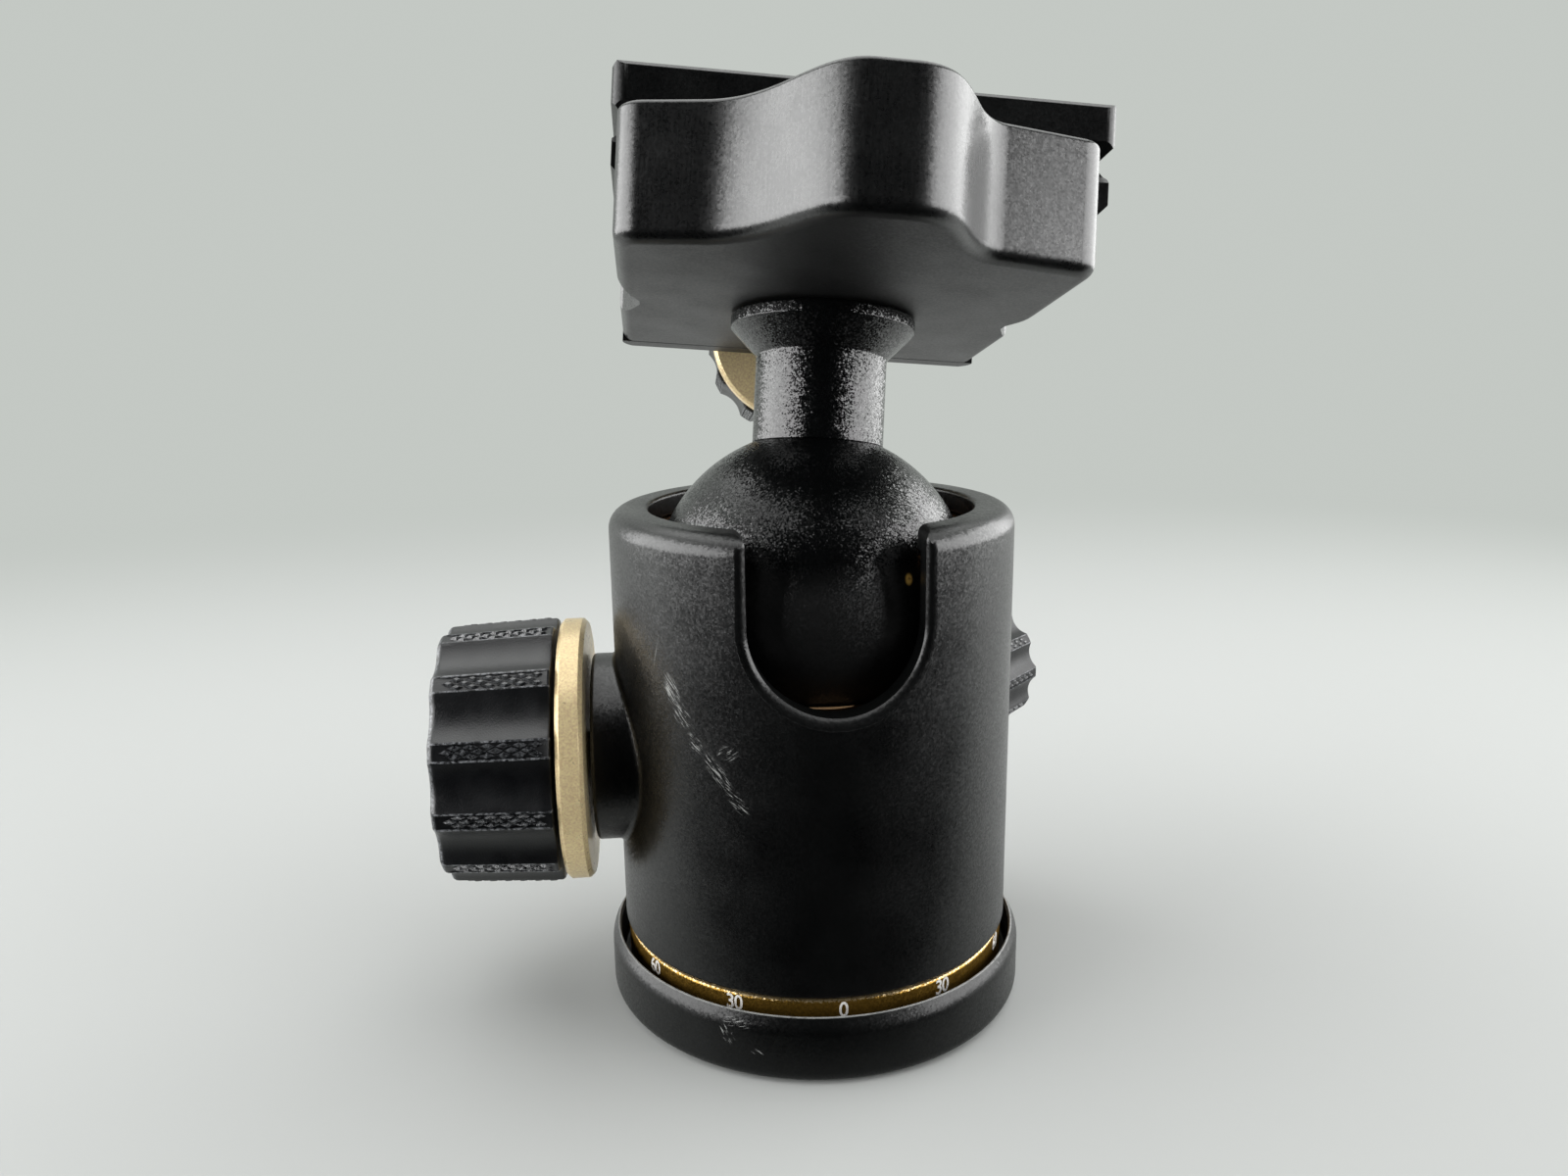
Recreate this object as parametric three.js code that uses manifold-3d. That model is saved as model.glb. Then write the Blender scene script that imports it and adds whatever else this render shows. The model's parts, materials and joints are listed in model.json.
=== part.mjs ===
// A photographic ball head, in millimetres, +Z up.
// The origin is the centre of the tripod socket on the underside of the base.
// The drop notch faces -Y, the main knob -X, the panning knob back and to the right.
import * as THREE from 'three';
import { mergeVertices } from 'three/addons/utils/BufferGeometryUtils.js';
import Module from 'manifold-3d';

const wasm = await Module();
wasm.setup();

// Fits
const clearance = 0.3;
const overrun = 4;
const edgeBreak = 0.4;

// Ball, stem and how the head stands in its rest pose
const ballRadius = 18;
const neckRadius = 7.46;
const neckLength = 9.65;
const flareRise = 3.1;
const flangeRadius = 10.5;
const flangeThickness = 1.35;
const sideLean = THREE.MathUtils.degToRad(4.6);
const backLean = THREE.MathUtils.degToRad(12.5);

// Base cup with its socket, dial ring and panning hub
const cupHeight = 8.1;
const cupFloor = 3;
const cupLip = 0.9;
const cupGap = 1.4;
const cupEdge = 0.6;
const dialInset = 0.3;
const dialWidth = 2.8;
const hubRadius = 14.2;
const hubWaist = 10.5;
const hubFlangeStand = 2.6;
const hubFlange = 4;
const hubCone = 2.5;
const hubConeRun = 2.3;
const socketRadius = 5;
const socketDepth = 12;
const bushWall = 1.5;
const bushLength = 8.6;
const bushInset = 0.2;
const bushSlotWidth = 1.2;
const bushSlotDepth = 1.4;
const hubScrewCount = 3;
const hubScrewRadius = 1.9;
const hubScrewHead = 3;
const hubScrewHeadHeight = 1.6;
const hubScrewInset = 0.3;
const hubScrewLength = 8;
const hexWidth = 2.9;
const hexDepth = 1;
const panWasher = 0.6;

// Housing shell and the seats inside it
const housingWall = 3;
const boreRoom = 1.6;
const housingLift = 0.7;
const rimOverBall = 9.6;
const rimLip = 1.4;
const rimLipThickness = 2;
const rimRound = 3;
const rimInnerRound = 0.6;
const notchRoom = 1.39;
const notchOverBall = 0.9;
const notchCorner = 2.4;
const ballOverHub = 9;
const upperSeatHeight = 4.4;
const upperSeatLand = 1.6;
const lowerSeatTopBelowBall = 8.2;
const lowerSeatSkirt = 4.2;
const lowerSeatFoot = 13.8;
const lowerSeatOverHub = 4.4;
const lowerSeatHole = 5;

// Knobs: the big one works the ball lock, two small ones the panning lock and the clamp
const knobOverBallFoot = 0.4;
const bossRadius = 10.65;
const bossStand = 2.6;
const panBossRadius = 6.2;
const panBossStand = 2.2;
const panKnobAngle = THREE.MathUtils.degToRad(45);
const lobes = 12;
const bigKnob = {
  gap: 0.46, ringRadius: 14.8, ringWidth: 2.9, ringEdge: 0.45, bandGap: 0.45, gripRadius: 14.9,
  gripLength: 12.6, taper: 0.6, lobeDepth: 0.95, gripEdge: 0.7, coreRadius: 10.2, capWidth: 1.4,
  capRecess: 0.4, screwRadius: 4, screwTip: 3, segments: 40,
};
const smallKnob = {
  gap: 0.4, ringRadius: 8.9, ringWidth: 2.2, ringEdge: 0.35, bandGap: 0.35, gripRadius: 9.5,
  gripLength: 10.9, taper: 0.35, lobeDepth: 0.75, gripEdge: 0.5, coreRadius: 6, capWidth: 1.2,
  capRecess: 0.3, screwRadius: 3, screwTip: 2.3, segments: 28,
};
const jawKnob = {
  gap: 0.4, ringRadius: 11.4, ringWidth: 2.2, ringEdge: 0.4, bandGap: 0.35, gripRadius: 11.7,
  gripLength: 10.8, taper: 0.4, lobeDepth: 0.85, gripEdge: 0.6, coreRadius: 7.8, capWidth: 1.2,
  capRecess: 0.3, screwRadius: 2.5, screwTip: 1.9, segments: 32,
};
const clampScrewReach = 12;
// One lobe of a grip: where its points lie across the pitch, and how deep in the valley
const lobeAngleShares = [0, 0.26, 0.44, 0.63, 0.82];
const lobeDepthShares = [0, 0, 0.75, 1, 0.75];
// Where the curved faces against the ball get their rings of points
const seatCurveShares = [0.18, 0.4, 0.62, 0.82];
const stemBowlShares = [0, 0.35, 0.7];

// Ball lock slider and panning shoe
const sliderWidth = 9;
const sliderFoot = 2;
const sliderRise = 4;
const sliderRun = 10;
const sliderTip = 4;
const sliderUpright = 3;
const sliderTravel = 1.25;
const sliderHeadRoom = 4.1;
const shoeWidth = 6;
const shoeThickness = 2.3;
const shoeTravel = 1;

// Quick-release clamp
const clampWidth = 46.4;
const clampHeight = 12.95;
const bedHeight = 7.6;
const clampRearMargin = 1.4;
const crestReach = 38.5;
const crestFlat = 3.6;
const crestCurve = 4;
const shoulderInner = 12.6;
const shoulderReach = 27.4;
const shoulderCorner = 24.3;
const shoulderCurve = 4.4;
const shoulderCurveDrop = 1.2;
const cornerRound = 2.4;
const clampEdge = 0.8;
const sideNotchDepth = 2.4;
const sideNotchRun = 14;
const sideNotchFloor = 1.6;
const sideNotchShift = 1;
const jawThickness = 3.6;
const clampScrewRise = 2.95;
const pinSpacing = 30;
const pinRadius = 1.6;
const pinLength = 15.4;
const springWall = 0.6;
const springLength = 7.9;
const boltRadius = 3;
const boltHead = 5.4;
const boltHeadHeight = 3;
const boltReach = 8.6;
const boltSocket = 2.4;
const channelWidth = 5.2;
const channelDepth = 1.4;
const channelEnd = 4;

// Plate with a dovetail on all four sides
const plateLength = 50.9;
const plateDepth = 38;
const plateThickness = 11.3;
const plateShift = 1.35;
const plateCorner = 1.4;
const plateEdge = 0.5;
const flangeInset = 0.7;
const grooveInset = 0.85;
const railRise = 3.5;
const endRise = 4;
const endEdge = 1.2;
const lipRise = 7.4;
const stripWidth = 7;
const stripInset = 5;
const stripStand = 0.6;
const stripSunk = 0.6;
const stopScrewRadius = 1.9;
const stopScrewSpacing = 24;
const stopScrewDrop = 1;
const stopScrewLength = 4;
const cameraScrewRadius = 3.175;
const cameraScrewStand = 5;
const cameraScrewHead = 7;
const cameraScrewHeadHeight = 2;
const cameraScrewSlot = 1.4;
const cameraSlotLength = 4;

// Places that follow from the sizes above
const boreRadius = ballRadius + boreRoom;
const housingRadius = boreRadius + housingWall;
const cupInner = housingRadius + cupGap;
const cupRadius = cupInner + cupLip;
const housingBottom = cupHeight + housingLift;
const hubFlangeRadius = hubRadius + hubFlangeStand;
const hubFlangeBottom = cupFloor + hubWaist;
const hubFlangeTop = hubFlangeBottom + hubFlange;
const hubTop = hubFlangeTop + hubCone;
const ballHeight = hubTop + ballOverHub + ballRadius;
const housingTop = ballHeight + rimOverBall;
const rimOpening = boreRadius - rimLip;
const lipBottom = housingTop - rimLipThickness;
const notchHalf = neckRadius + notchRoom;
const notchHeight = ballHeight + notchOverBall;
const knobHeight = ballHeight - ballRadius + knobOverBallFoot;
const seatRadius = ballRadius + clearance;
const sleeveRadius = boreRadius - clearance;
const bossReach = housingRadius + bossStand;
const panBossReach = housingRadius + panBossStand;
const flareBase = Math.sqrt(ballRadius ** 2 - neckRadius ** 2) + neckLength + clearance;
const stemTop = flareBase + flareRise + flangeThickness;
const clampBottom = stemTop + clearance;
const clampTop = clampBottom + clampHeight;
const bedTop = clampBottom + bedHeight;
const plateBottom = bedTop + clearance;
const plateTop = plateBottom + plateThickness;
const flangeHalf = plateDepth / 2 - flangeInset;
const grooveHalf = flangeHalf - grooveInset;
const jawLip = plateBottom + railRise + clearance / 2;
const jawFace = flangeHalf + clearance;
const jawTip = grooveHalf + clearance;
const clampRear = plateDepth / 2 + clampRearMargin;
const jawInner = clampRear + clearance;
const jawOuter = jawInner + jawThickness;
const clampScrewHeight = clampBottom + clampScrewRise;
const pinEnd = jawOuter - clampEdge;
const pinStart = pinEnd - pinLength;

// Solids and meshes

function toSolid(geometry) {
  const bare = geometry.index ? geometry.toNonIndexed() : geometry.clone();
  bare.deleteAttribute('normal');
  bare.deleteAttribute('uv');
  const merged = mergeVertices(bare);
  const position = merged.attributes.position;
  const index = Array.from(merged.index.array);
  const corner = [new THREE.Vector3(), new THREE.Vector3(), new THREE.Vector3()];
  let volume = 0;
  for (let i = 0; i < index.length; i += 3) {
    corner.forEach((vertex, k) => vertex.fromBufferAttribute(position, index[i + k]));
    volume += corner[0].dot(corner[1].cross(corner[2]));
  }
  const triangles = [];
  for (let i = 0; i < index.length; i += 3) {
    const [a, b, c] = index.slice(i, i + 3);
    if (a === b || b === c || c === a) continue;
    triangles.push(...(volume < 0 ? [a, c, b] : [a, b, c]));
  }
  return new wasm.Manifold(new wasm.Mesh({
    numProp: 3,
    vertProperties: new Float32Array(position.array),
    triVerts: new Uint32Array(triangles),
  }));
}

function toGeometry(solid) {
  const mesh = solid.getMesh();
  const geometry = new THREE.BufferGeometry();
  geometry.setAttribute('position', new THREE.BufferAttribute(new Float32Array(mesh.vertProperties), 3));
  geometry.setIndex(new THREE.BufferAttribute(new Uint32Array(mesh.triVerts), 1));
  const facets = geometry.toNonIndexed();
  facets.computeVertexNormals();
  return facets;
}

function revolve(profile, segments) {
  const points = profile.map(([radius, height]) => new THREE.Vector2(radius, height));
  const [first, last] = [points[0], points.at(-1)];
  if (first.x > 0 || last.x > 0) points.push(first.clone());
  return toSolid(new THREE.LatheGeometry(points, segments).rotateX(Math.PI / 2));
}

// A straight round bar along Z between two heights
function bar(radius, bottom, top, segments) {
  return revolve([[0, bottom], [radius, bottom], [radius, top], [0, top]], segments);
}

function placedBar(radius, bottom, top, segments, x, y) {
  const geometry = new THREE.CylinderGeometry(radius, radius, top - bottom, segments);
  geometry.rotateX(Math.PI / 2);
  geometry.translate(x, y, (bottom + top) / 2);
  return toSolid(geometry);
}

function block(x0, x1, y0, y1, z0, z1) {
  const geometry = new THREE.BoxGeometry(x1 - x0, y1 - y0, z1 - z0);
  geometry.translate((x0 + x1) / 2, (y0 + y1) / 2, (z0 + z1) / 2);
  return toSolid(geometry);
}

function toShape(outline) {
  return Array.isArray(outline) ? new THREE.Shape(outline.map(([x, y]) => new THREE.Vector2(x, y))) : outline;
}

// An outline in the XY plane, pulled up along Z, with an optional rounded edge inside it
function prism(outline, bottom, top, edge = 0) {
  const geometry = new THREE.ExtrudeGeometry(toShape(outline), {
    depth: top - bottom - 2 * edge,
    bevelEnabled: edge > 0,
    bevelThickness: edge,
    bevelSize: edge,
    bevelOffset: -edge,
    bevelSegments: 2,
    curveSegments: 8,
  });
  geometry.translate(0, 0, bottom + edge);
  return geometry;
}

// An outline in the XZ plane, pulled along Y
function prismAlongY(outline, front, back) {
  const geometry = prism(outline, -back, -front);
  geometry.rotateX(Math.PI / 2);
  return toSolid(geometry);
}

// An outline in the YZ plane, pulled along X
function prismAlongX(outline, left, right) {
  const geometry = prism(outline, left, right);
  geometry.rotateX(Math.PI / 2);
  geometry.rotateZ(Math.PI / 2);
  return toSolid(geometry);
}

function arc(radius, height, size, from, to, steps) {
  return Array.from({ length: steps + 1 }, (_, i) => {
    const angle = THREE.MathUtils.degToRad(from + ((to - from) * i) / steps);
    return [radius + size * Math.cos(angle), height + size * Math.sin(angle)];
  });
}

// Where the ball's seats, wider than the ball by their clearance, stand at a height off its centre
function seatAt(offset) {
  return Math.sqrt(seatRadius ** 2 - offset ** 2);
}

function onAxis(solid, direction, height) {
  const turn = new THREE.Matrix4().makeRotationZ(direction);
  const lay = new THREE.Matrix4().makeRotationY(Math.PI / 2);
  const lift = new THREE.Matrix4().makeTranslation(0, 0, height);
  return solid.transform(lift.multiply(turn).multiply(lay).elements);
}

const finishes = {
  blackAnodised: { color: 0x1b1d1f, roughness: 0.45, metalness: 0.6 },
  blastedBlack: { color: 0x101112, roughness: 0.4, metalness: 0.6 },
  goldAnodised: { color: 0xc9a873, roughness: 0.35, metalness: 0.9 },
  dialGold: { color: 0x8a6a35, roughness: 0.4, metalness: 0.8 },
  gripRubber: { color: 0x15171b, roughness: 0.7, metalness: 0 },
  steel: { color: 0xa9abad, roughness: 0.3, metalness: 1 },
  brass: { color: 0xb08d4f, roughness: 0.35, metalness: 1 },
  seatBronze: { color: 0x9a6a45, roughness: 0.5, metalness: 0.6 },
  washerWhite: { color: 0xe6e3da, roughness: 0.6, metalness: 0 },
};

function piece(name, finish, solid) {
  const mesh = new THREE.Mesh(toGeometry(solid), new THREE.MeshStandardMaterial(finishes[finish]));
  mesh.name = name;
  return mesh;
}

function hexagon(width) {
  const corner = width / 2 / Math.cos(Math.PI / 6);
  return Array.from({ length: 6 }, (_, i) => {
    const angle = (i * Math.PI) / 3;
    return [corner * Math.cos(angle), corner * Math.sin(angle)];
  });
}

// Base: cup, dial ring, hub, socket bush and the screws that hold the hub to the cup

const hubScrewCircle = (socketRadius + hubRadius) / 2;
const hubScrewPlaces = Array.from({ length: hubScrewCount }, (_, i) => {
  const angle = (2 * Math.PI * i) / hubScrewCount + Math.PI / 6;
  return [hubScrewCircle * Math.cos(angle), hubScrewCircle * Math.sin(angle)];
});
const hubScrewHeadTop = hubScrewInset + hubScrewHeadHeight;
const hubScrewTop = hubScrewHeadTop + hubScrewLength;

function makeCup() {
  let cup = revolve([
    [socketRadius, 0],
    [cupRadius - cupEdge, 0],
    ...arc(cupRadius - cupEdge, cupEdge, cupEdge, -45, 0, 1),
    [cupRadius, cupHeight - cupLip / 2],
    [cupRadius - cupLip / 2, cupHeight],
    [cupInner, cupHeight],
    [cupInner, cupFloor],
    [socketRadius, cupFloor],
  ], 56);
  for (const [x, y] of hubScrewPlaces) {
    cup = cup.subtract(placedBar(hubScrewRadius + clearance, -overrun, cupFloor + overrun, 14, x, y));
    const pocketTop = hubScrewHeadTop + clearance / 2;
    cup = cup.subtract(placedBar(hubScrewHead + clearance, -overrun, pocketTop, 18, x, y));
  }
  return cup;
}

function makeDialRing() {
  const outer = housingRadius - dialInset;
  const top = housingBottom - clearance;
  return revolve([
    [outer - dialWidth, cupFloor], [outer, cupFloor], [outer, top - edgeBreak],
    [outer - edgeBreak, top], [outer - dialWidth, top],
  ], 56);
}

function makeHub() {
  let hub = revolve([
    [0, hubTop], [hubFlangeRadius - hubConeRun, hubTop], [hubFlangeRadius, hubFlangeTop],
    [hubFlangeRadius, hubFlangeBottom], [hubRadius, hubFlangeBottom], [hubRadius, cupFloor],
    [socketRadius, cupFloor], [socketRadius, socketDepth], [0, socketDepth],
  ], 36);
  for (const [x, y] of hubScrewPlaces) {
    const hole = placedBar(hubScrewRadius + clearance, cupFloor - overrun, hubScrewTop + clearance, 14, x, y);
    hub = hub.subtract(hole);
  }
  return hub;
}

function makeBush() {
  const outer = socketRadius - clearance;
  const top = bushInset + bushLength;
  const bush = revolve([
    [outer - bushWall, bushInset], [outer, bushInset], [outer, top], [outer - bushWall, top],
  ], 18);
  const slotHalf = bushSlotWidth / 2;
  const slot = block(-socketRadius, socketRadius, -slotHalf, slotHalf, -overrun, bushInset + bushSlotDepth);
  return bush.subtract(slot);
}

function makeHubScrew(x, y) {
  const head = placedBar(hubScrewHead, hubScrewInset, hubScrewHeadTop, 18, x, y);
  const shank = placedBar(hubScrewRadius, hubScrewInset + hexDepth, hubScrewTop, 14, x, y);
  const key = toSolid(prism(hexagon(hexWidth), -overrun, hubScrewInset + hexDepth).translate(x, y, 0));
  return head.add(shank).subtract(key);
}

const base = new THREE.Group();
base.add(piece('base_cup', 'blackAnodised', makeCup()));
base.add(piece('dial_ring', 'dialGold', makeDialRing()));
base.add(piece('pan_hub', 'steel', makeHub()));
base.add(piece('socket_bush', 'steel', makeBush()));
hubScrewPlaces.forEach(([x, y], i) => {
  base.add(piece(`hub_screw_${i + 1}`, 'steel', makeHubScrew(x, y)));
});

// Housing: shell, retaining ring, washer and upper seat

function notchOutline(half) {
  const top = housingTop + overrun;
  const shape = new THREE.Shape();
  shape.moveTo(-half - notchCorner, top);
  shape.lineTo(-half - notchCorner, housingTop);
  shape.absarc(-half - notchCorner, housingTop - notchCorner, notchCorner, Math.PI / 2, 0, true);
  shape.lineTo(-half, notchHeight);
  shape.absarc(0, notchHeight, half, Math.PI, 2 * Math.PI, false);
  shape.lineTo(half, housingTop - notchCorner);
  shape.absarc(half + notchCorner, housingTop - notchCorner, notchCorner, Math.PI, Math.PI / 2, true);
  shape.lineTo(half + notchCorner, top);
  return shape;
}

const notchTool = prismAlongY(notchOutline(notchHalf), -housingRadius - overrun, -ballRadius / 2);

function makeShell() {
  let shell = revolve([
    [0, housingBottom],
    [housingRadius - edgeBreak, housingBottom],
    [housingRadius, housingBottom + edgeBreak],
    ...arc(housingRadius - rimRound, housingTop - rimRound, rimRound, 0, 90, 4),
    [0, housingTop],
  ], 56);
  shell = shell.add(onAxis(bar(bossRadius, ballRadius, bossReach, 36), Math.PI, knobHeight));
  shell = shell.add(onAxis(bar(panBossRadius, ballRadius, panBossReach, 28), panKnobAngle, knobHeight));
  shell = shell.subtract(revolve([
    [0, housingBottom - overrun],
    [boreRadius, housingBottom - overrun],
    [boreRadius, lipBottom],
    [rimOpening, lipBottom],
    [rimOpening, housingTop - rimInnerRound],
    [rimOpening + rimInnerRound, housingTop],
    [rimOpening + rimInnerRound, housingTop + overrun],
    [0, housingTop + overrun],
  ], 56));
  shell = shell.subtract(notchTool);
  const lockBore = bar(bigKnob.screwRadius + clearance, 0, bossReach + overrun, 20);
  shell = shell.subtract(onAxis(lockBore, Math.PI, knobHeight));
  const panBore = bar(smallKnob.screwRadius + clearance, 0, panBossReach + overrun, 20);
  return shell.subtract(onAxis(panBore, panKnobAngle, knobHeight));
}

const washerTop = hubFlangeBottom - clearance;
const retainerTop = washerTop - panWasher - clearance;

function makeRetainer() {
  const inner = hubRadius + clearance;
  const bottom = housingBottom + edgeBreak;
  return revolve([
    [inner, bottom], [sleeveRadius, bottom], [sleeveRadius, retainerTop], [inner, retainerTop],
  ], 36);
}

function makePanWasher() {
  const inner = hubRadius + clearance;
  const bottom = retainerTop + clearance / 2;
  const top = bottom + panWasher;
  return revolve([
    [inner, bottom], [hubFlangeRadius, bottom], [hubFlangeRadius, top], [inner, top],
  ], 28);
}

function makeUpperSeat() {
  const top = lipBottom - clearance / 2;
  const bottom = top - upperSeatHeight;
  const ring = revolve([
    [seatAt(bottom - ballHeight), bottom],
    [sleeveRadius, bottom],
    [sleeveRadius, top],
    [sleeveRadius - upperSeatLand, top],
    [seatAt((bottom + top) / 2 - ballHeight), (bottom + top) / 2],
  ], 48);
  return ring.subtract(notchTool);
}

const housing = new THREE.Group();
housing.add(piece('housing_shell', 'blackAnodised', makeShell()));
housing.add(piece('hub_retaining_ring', 'steel', makeRetainer()));
housing.add(piece('pan_washer', 'washerWhite', makePanWasher()));
housing.add(piece('upper_ball_seat', 'seatBronze', makeUpperSeat()));

// Ball lock: the slider under the ball lifts the lower seat as the knob drives it in

const sliderBottom = hubTop + clearance + edgeBreak / 4;
const sliderOuter = sleeveRadius - sliderTravel - edgeBreak - clearance / 2;
const sliderInner = sliderOuter - sliderUpright;
const sliderTop = knobHeight + sliderHeadRoom;
const seatDrop = (sliderTravel * sliderRise) / sliderRun;

// Side view of the slider, with x measured out from the head's axis; room opens it into the
// channel that the seat needs
function sliderOutline(room) {
  const tipRise = sliderBottom + sliderFoot;
  return [
    [sliderTip - room, sliderBottom - (room > 0 ? overrun : 0)],
    [sliderOuter + (room > 0 ? overrun : 0), sliderBottom - (room > 0 ? overrun : 0)],
    [sliderOuter + (room > 0 ? overrun : 0), sliderTop + room + (room > 0 ? seatDrop : 0)],
    [sliderInner - room, sliderTop + room + (room > 0 ? seatDrop : 0)],
    [sliderInner - room, tipRise + sliderRise + room],
    [sliderTip + sliderRun, tipRise + sliderRise + room],
    [sliderTip - room, tipRise + room],
  ];
}

function sliderSolid(room) {
  const half = sliderWidth / 2 + room;
  const outline = sliderOutline(room).map(([out, height]) => [-out, height]);
  return prismAlongY(outline, -half, half);
}

function makeLowerSeat() {
  const top = ballHeight - lowerSeatTopBelowBall;
  const bottom = hubTop + lowerSeatOverHub;
  const skirt = top - lowerSeatSkirt;
  const sphere = seatCurveShares.map((share) => {
    const rim = seatAt(lowerSeatTopBelowBall);
    const radius = lowerSeatHole + (rim - lowerSeatHole) * share;
    return [radius, ballHeight - Math.sqrt(seatRadius ** 2 - radius ** 2)];
  });
  const seat = revolve([
    [lowerSeatHole, bottom],
    [lowerSeatFoot, bottom],
    [lowerSeatFoot, skirt - (sleeveRadius - lowerSeatFoot)],
    [sleeveRadius, skirt],
    [sleeveRadius, top],
    [seatAt(lowerSeatTopBelowBall), top],
    ...sphere.reverse(),
    [lowerSeatHole, ballHeight - Math.sqrt(seatRadius ** 2 - lowerSeatHole ** 2)],
  ], 40);
  return seat.subtract(sliderSolid(clearance));
}

housing.add(piece('lower_ball_seat', 'seatBronze', makeLowerSeat()));
housing.add(piece('lock_slider', 'brass', sliderSolid(0)));

// Panning lock: a brass shoe that bears on the hub's cone

const shoeOuter = sleeveRadius - shoeTravel - clearance;

function makeShoe() {
  const inner = shoeOuter - shoeThickness;
  const top = knobHeight - clearance;
  const coneGap = clearance * Math.SQRT2;
  const foot = hubFlangeTop + clearance;
  const outline = [
    [shoeOuter, foot],
    [shoeOuter, top],
    [inner, top],
    [inner, hubTop + clearance],
    [hubFlangeRadius + coneGap, foot],
  ];
  const shoe = prismAlongY(outline, -shoeWidth / 2, shoeWidth / 2);
  return shoe.transform(new THREE.Matrix4().makeRotationZ(panKnobAngle).elements);
}

housing.add(piece('pan_lock_shoe', 'brass', makeShoe()));

// Knobs, built along local Z, which points away from what they screw into

function lobedOutline(radius, depth) {
  const points = [];
  const pitch = (2 * Math.PI) / lobes;
  for (let lobe = 0; lobe < lobes; lobe += 1) {
    lobeAngleShares.forEach((share, i) => {
      const angle = pitch * (lobe + share - lobeAngleShares[1] / 2);
      const reach = radius - depth * lobeDepthShares[i];
      points.push([reach * Math.cos(angle), reach * Math.sin(angle)]);
    });
  }
  return points;
}

function makeGrip(knob, start) {
  const end = start + knob.gripLength;
  const geometry = prism(lobedOutline(knob.gripRadius, knob.lobeDepth), start, end, knob.gripEdge);
  const position = geometry.attributes.position;
  for (let i = 0; i < position.count; i += 1) {
    const along = (position.getZ(i) - start) / knob.gripLength;
    const scale = 1 - (knob.taper / knob.gripRadius) * along;
    position.setXY(i, position.getX(i) * scale, position.getY(i) * scale);
  }
  const bore = bar(knob.coreRadius + clearance, start - overrun, end + overrun, knob.segments);
  return toSolid(geometry).subtract(bore);
}

function makeKnob(prefix, knob, face, tip) {
  const ringStart = face + knob.gap;
  const ringEnd = ringStart + knob.ringWidth;
  const gripStart = ringEnd + knob.bandGap;
  const gripEnd = gripStart + knob.gripLength;
  const capEnd = gripEnd - knob.capRecess;
  const coreEnd = capEnd - knob.capWidth - clearance;
  const coreStart = ringEnd + clearance;
  const screwEnd = (coreStart + coreEnd) / 2;
  const chamfer = knob.screwRadius - knob.screwTip;
  const bore = knob.screwRadius + clearance;
  const group = new THREE.Group();
  group.add(piece(`${prefix}_spindle`, 'steel', revolve([
    [0, tip], [knob.screwTip, tip], [knob.screwRadius, tip + chamfer], [knob.screwRadius, screwEnd],
    [0, screwEnd],
  ], 16)));
  group.add(piece(`${prefix}_core`, 'blackAnodised', revolve([
    [bore, coreStart], [knob.coreRadius, coreStart], [knob.coreRadius, coreEnd], [0, coreEnd],
    [0, screwEnd + clearance], [bore, screwEnd + clearance],
  ], knob.segments)));
  group.add(piece(`${prefix}_ring`, 'goldAnodised', revolve([
    [bore, ringStart],
    [knob.ringRadius - knob.ringEdge, ringStart],
    [knob.ringRadius, ringStart + knob.ringEdge],
    [knob.ringRadius, ringEnd - knob.ringEdge],
    [knob.ringRadius - knob.ringEdge, ringEnd],
    [bore, ringEnd],
  ], knob.segments)));
  group.add(piece(`${prefix}_grip`, 'gripRubber', makeGrip(knob, gripStart)));
  group.add(piece(`${prefix}_cap`, 'blackAnodised', revolve([
    [0, capEnd - knob.capWidth], [knob.coreRadius, capEnd - knob.capWidth],
    [knob.coreRadius, capEnd - edgeBreak], [knob.coreRadius - edgeBreak, capEnd], [0, capEnd],
  ], knob.segments)));
  return group;
}

const lockTip = sliderOuter + clearance;
const lockKnob = makeKnob('lock_knob', bigKnob, bossReach, lockTip);
lockKnob.position.set(0, 0, knobHeight);
lockKnob.rotation.set(0, -Math.PI / 2, 0);
housing.add(lockKnob);

const panKnob = makeKnob('pan_knob', smallKnob, panBossReach, shoeOuter + clearance);
panKnob.position.set(0, 0, knobHeight);
panKnob.rotation.set(0, Math.PI / 2, panKnobAngle, 'ZYX');
housing.add(panKnob);

// Ball and stem, about the ball's centre

function makeStem() {
  const foot = Math.sqrt(seatRadius ** 2 - neckRadius ** 2);
  const bowl = stemBowlShares.map((share) => {
    const radius = neckRadius * share;
    return [radius, Math.sqrt(seatRadius ** 2 - radius ** 2)];
  });
  const stem = revolve([
    ...bowl,
    [neckRadius, foot],
    [neckRadius, flareBase],
    [flangeRadius, flareBase + flareRise],
    [flangeRadius, stemTop - edgeBreak],
    [flangeRadius - edgeBreak, stemTop],
    [0, stemTop],
  ], 36);
  return stem.subtract(bar(boltRadius + clearance, stemTop - boltReach, stemTop + overrun, 18));
}

// The ball is a sphere revolved from its own profile, closed at both poles
function makeBall() {
  return revolve(arc(0, 0, ballRadius, -90, 90, 16).map(([radius, height], i, all) => {
    const pole = i === 0 || i === all.length - 1;
    return [pole ? 0 : radius, height];
  }), 36);
}

const ballGroup = new THREE.Group();
ballGroup.position.set(0, 0, ballHeight);
ballGroup.rotation.set(0, sideLean, 0);
ballGroup.add(piece('ball', 'blastedBlack', makeBall()));
const stemGroup = new THREE.Group();
stemGroup.rotation.set(-backLean, 0, 0);
stemGroup.add(piece('stem', 'blastedBlack', makeStem()));
ballGroup.add(stemGroup);

// Clamp, in the frame of the stem: its crest faces -Y and its screw jaw +Y

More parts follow.
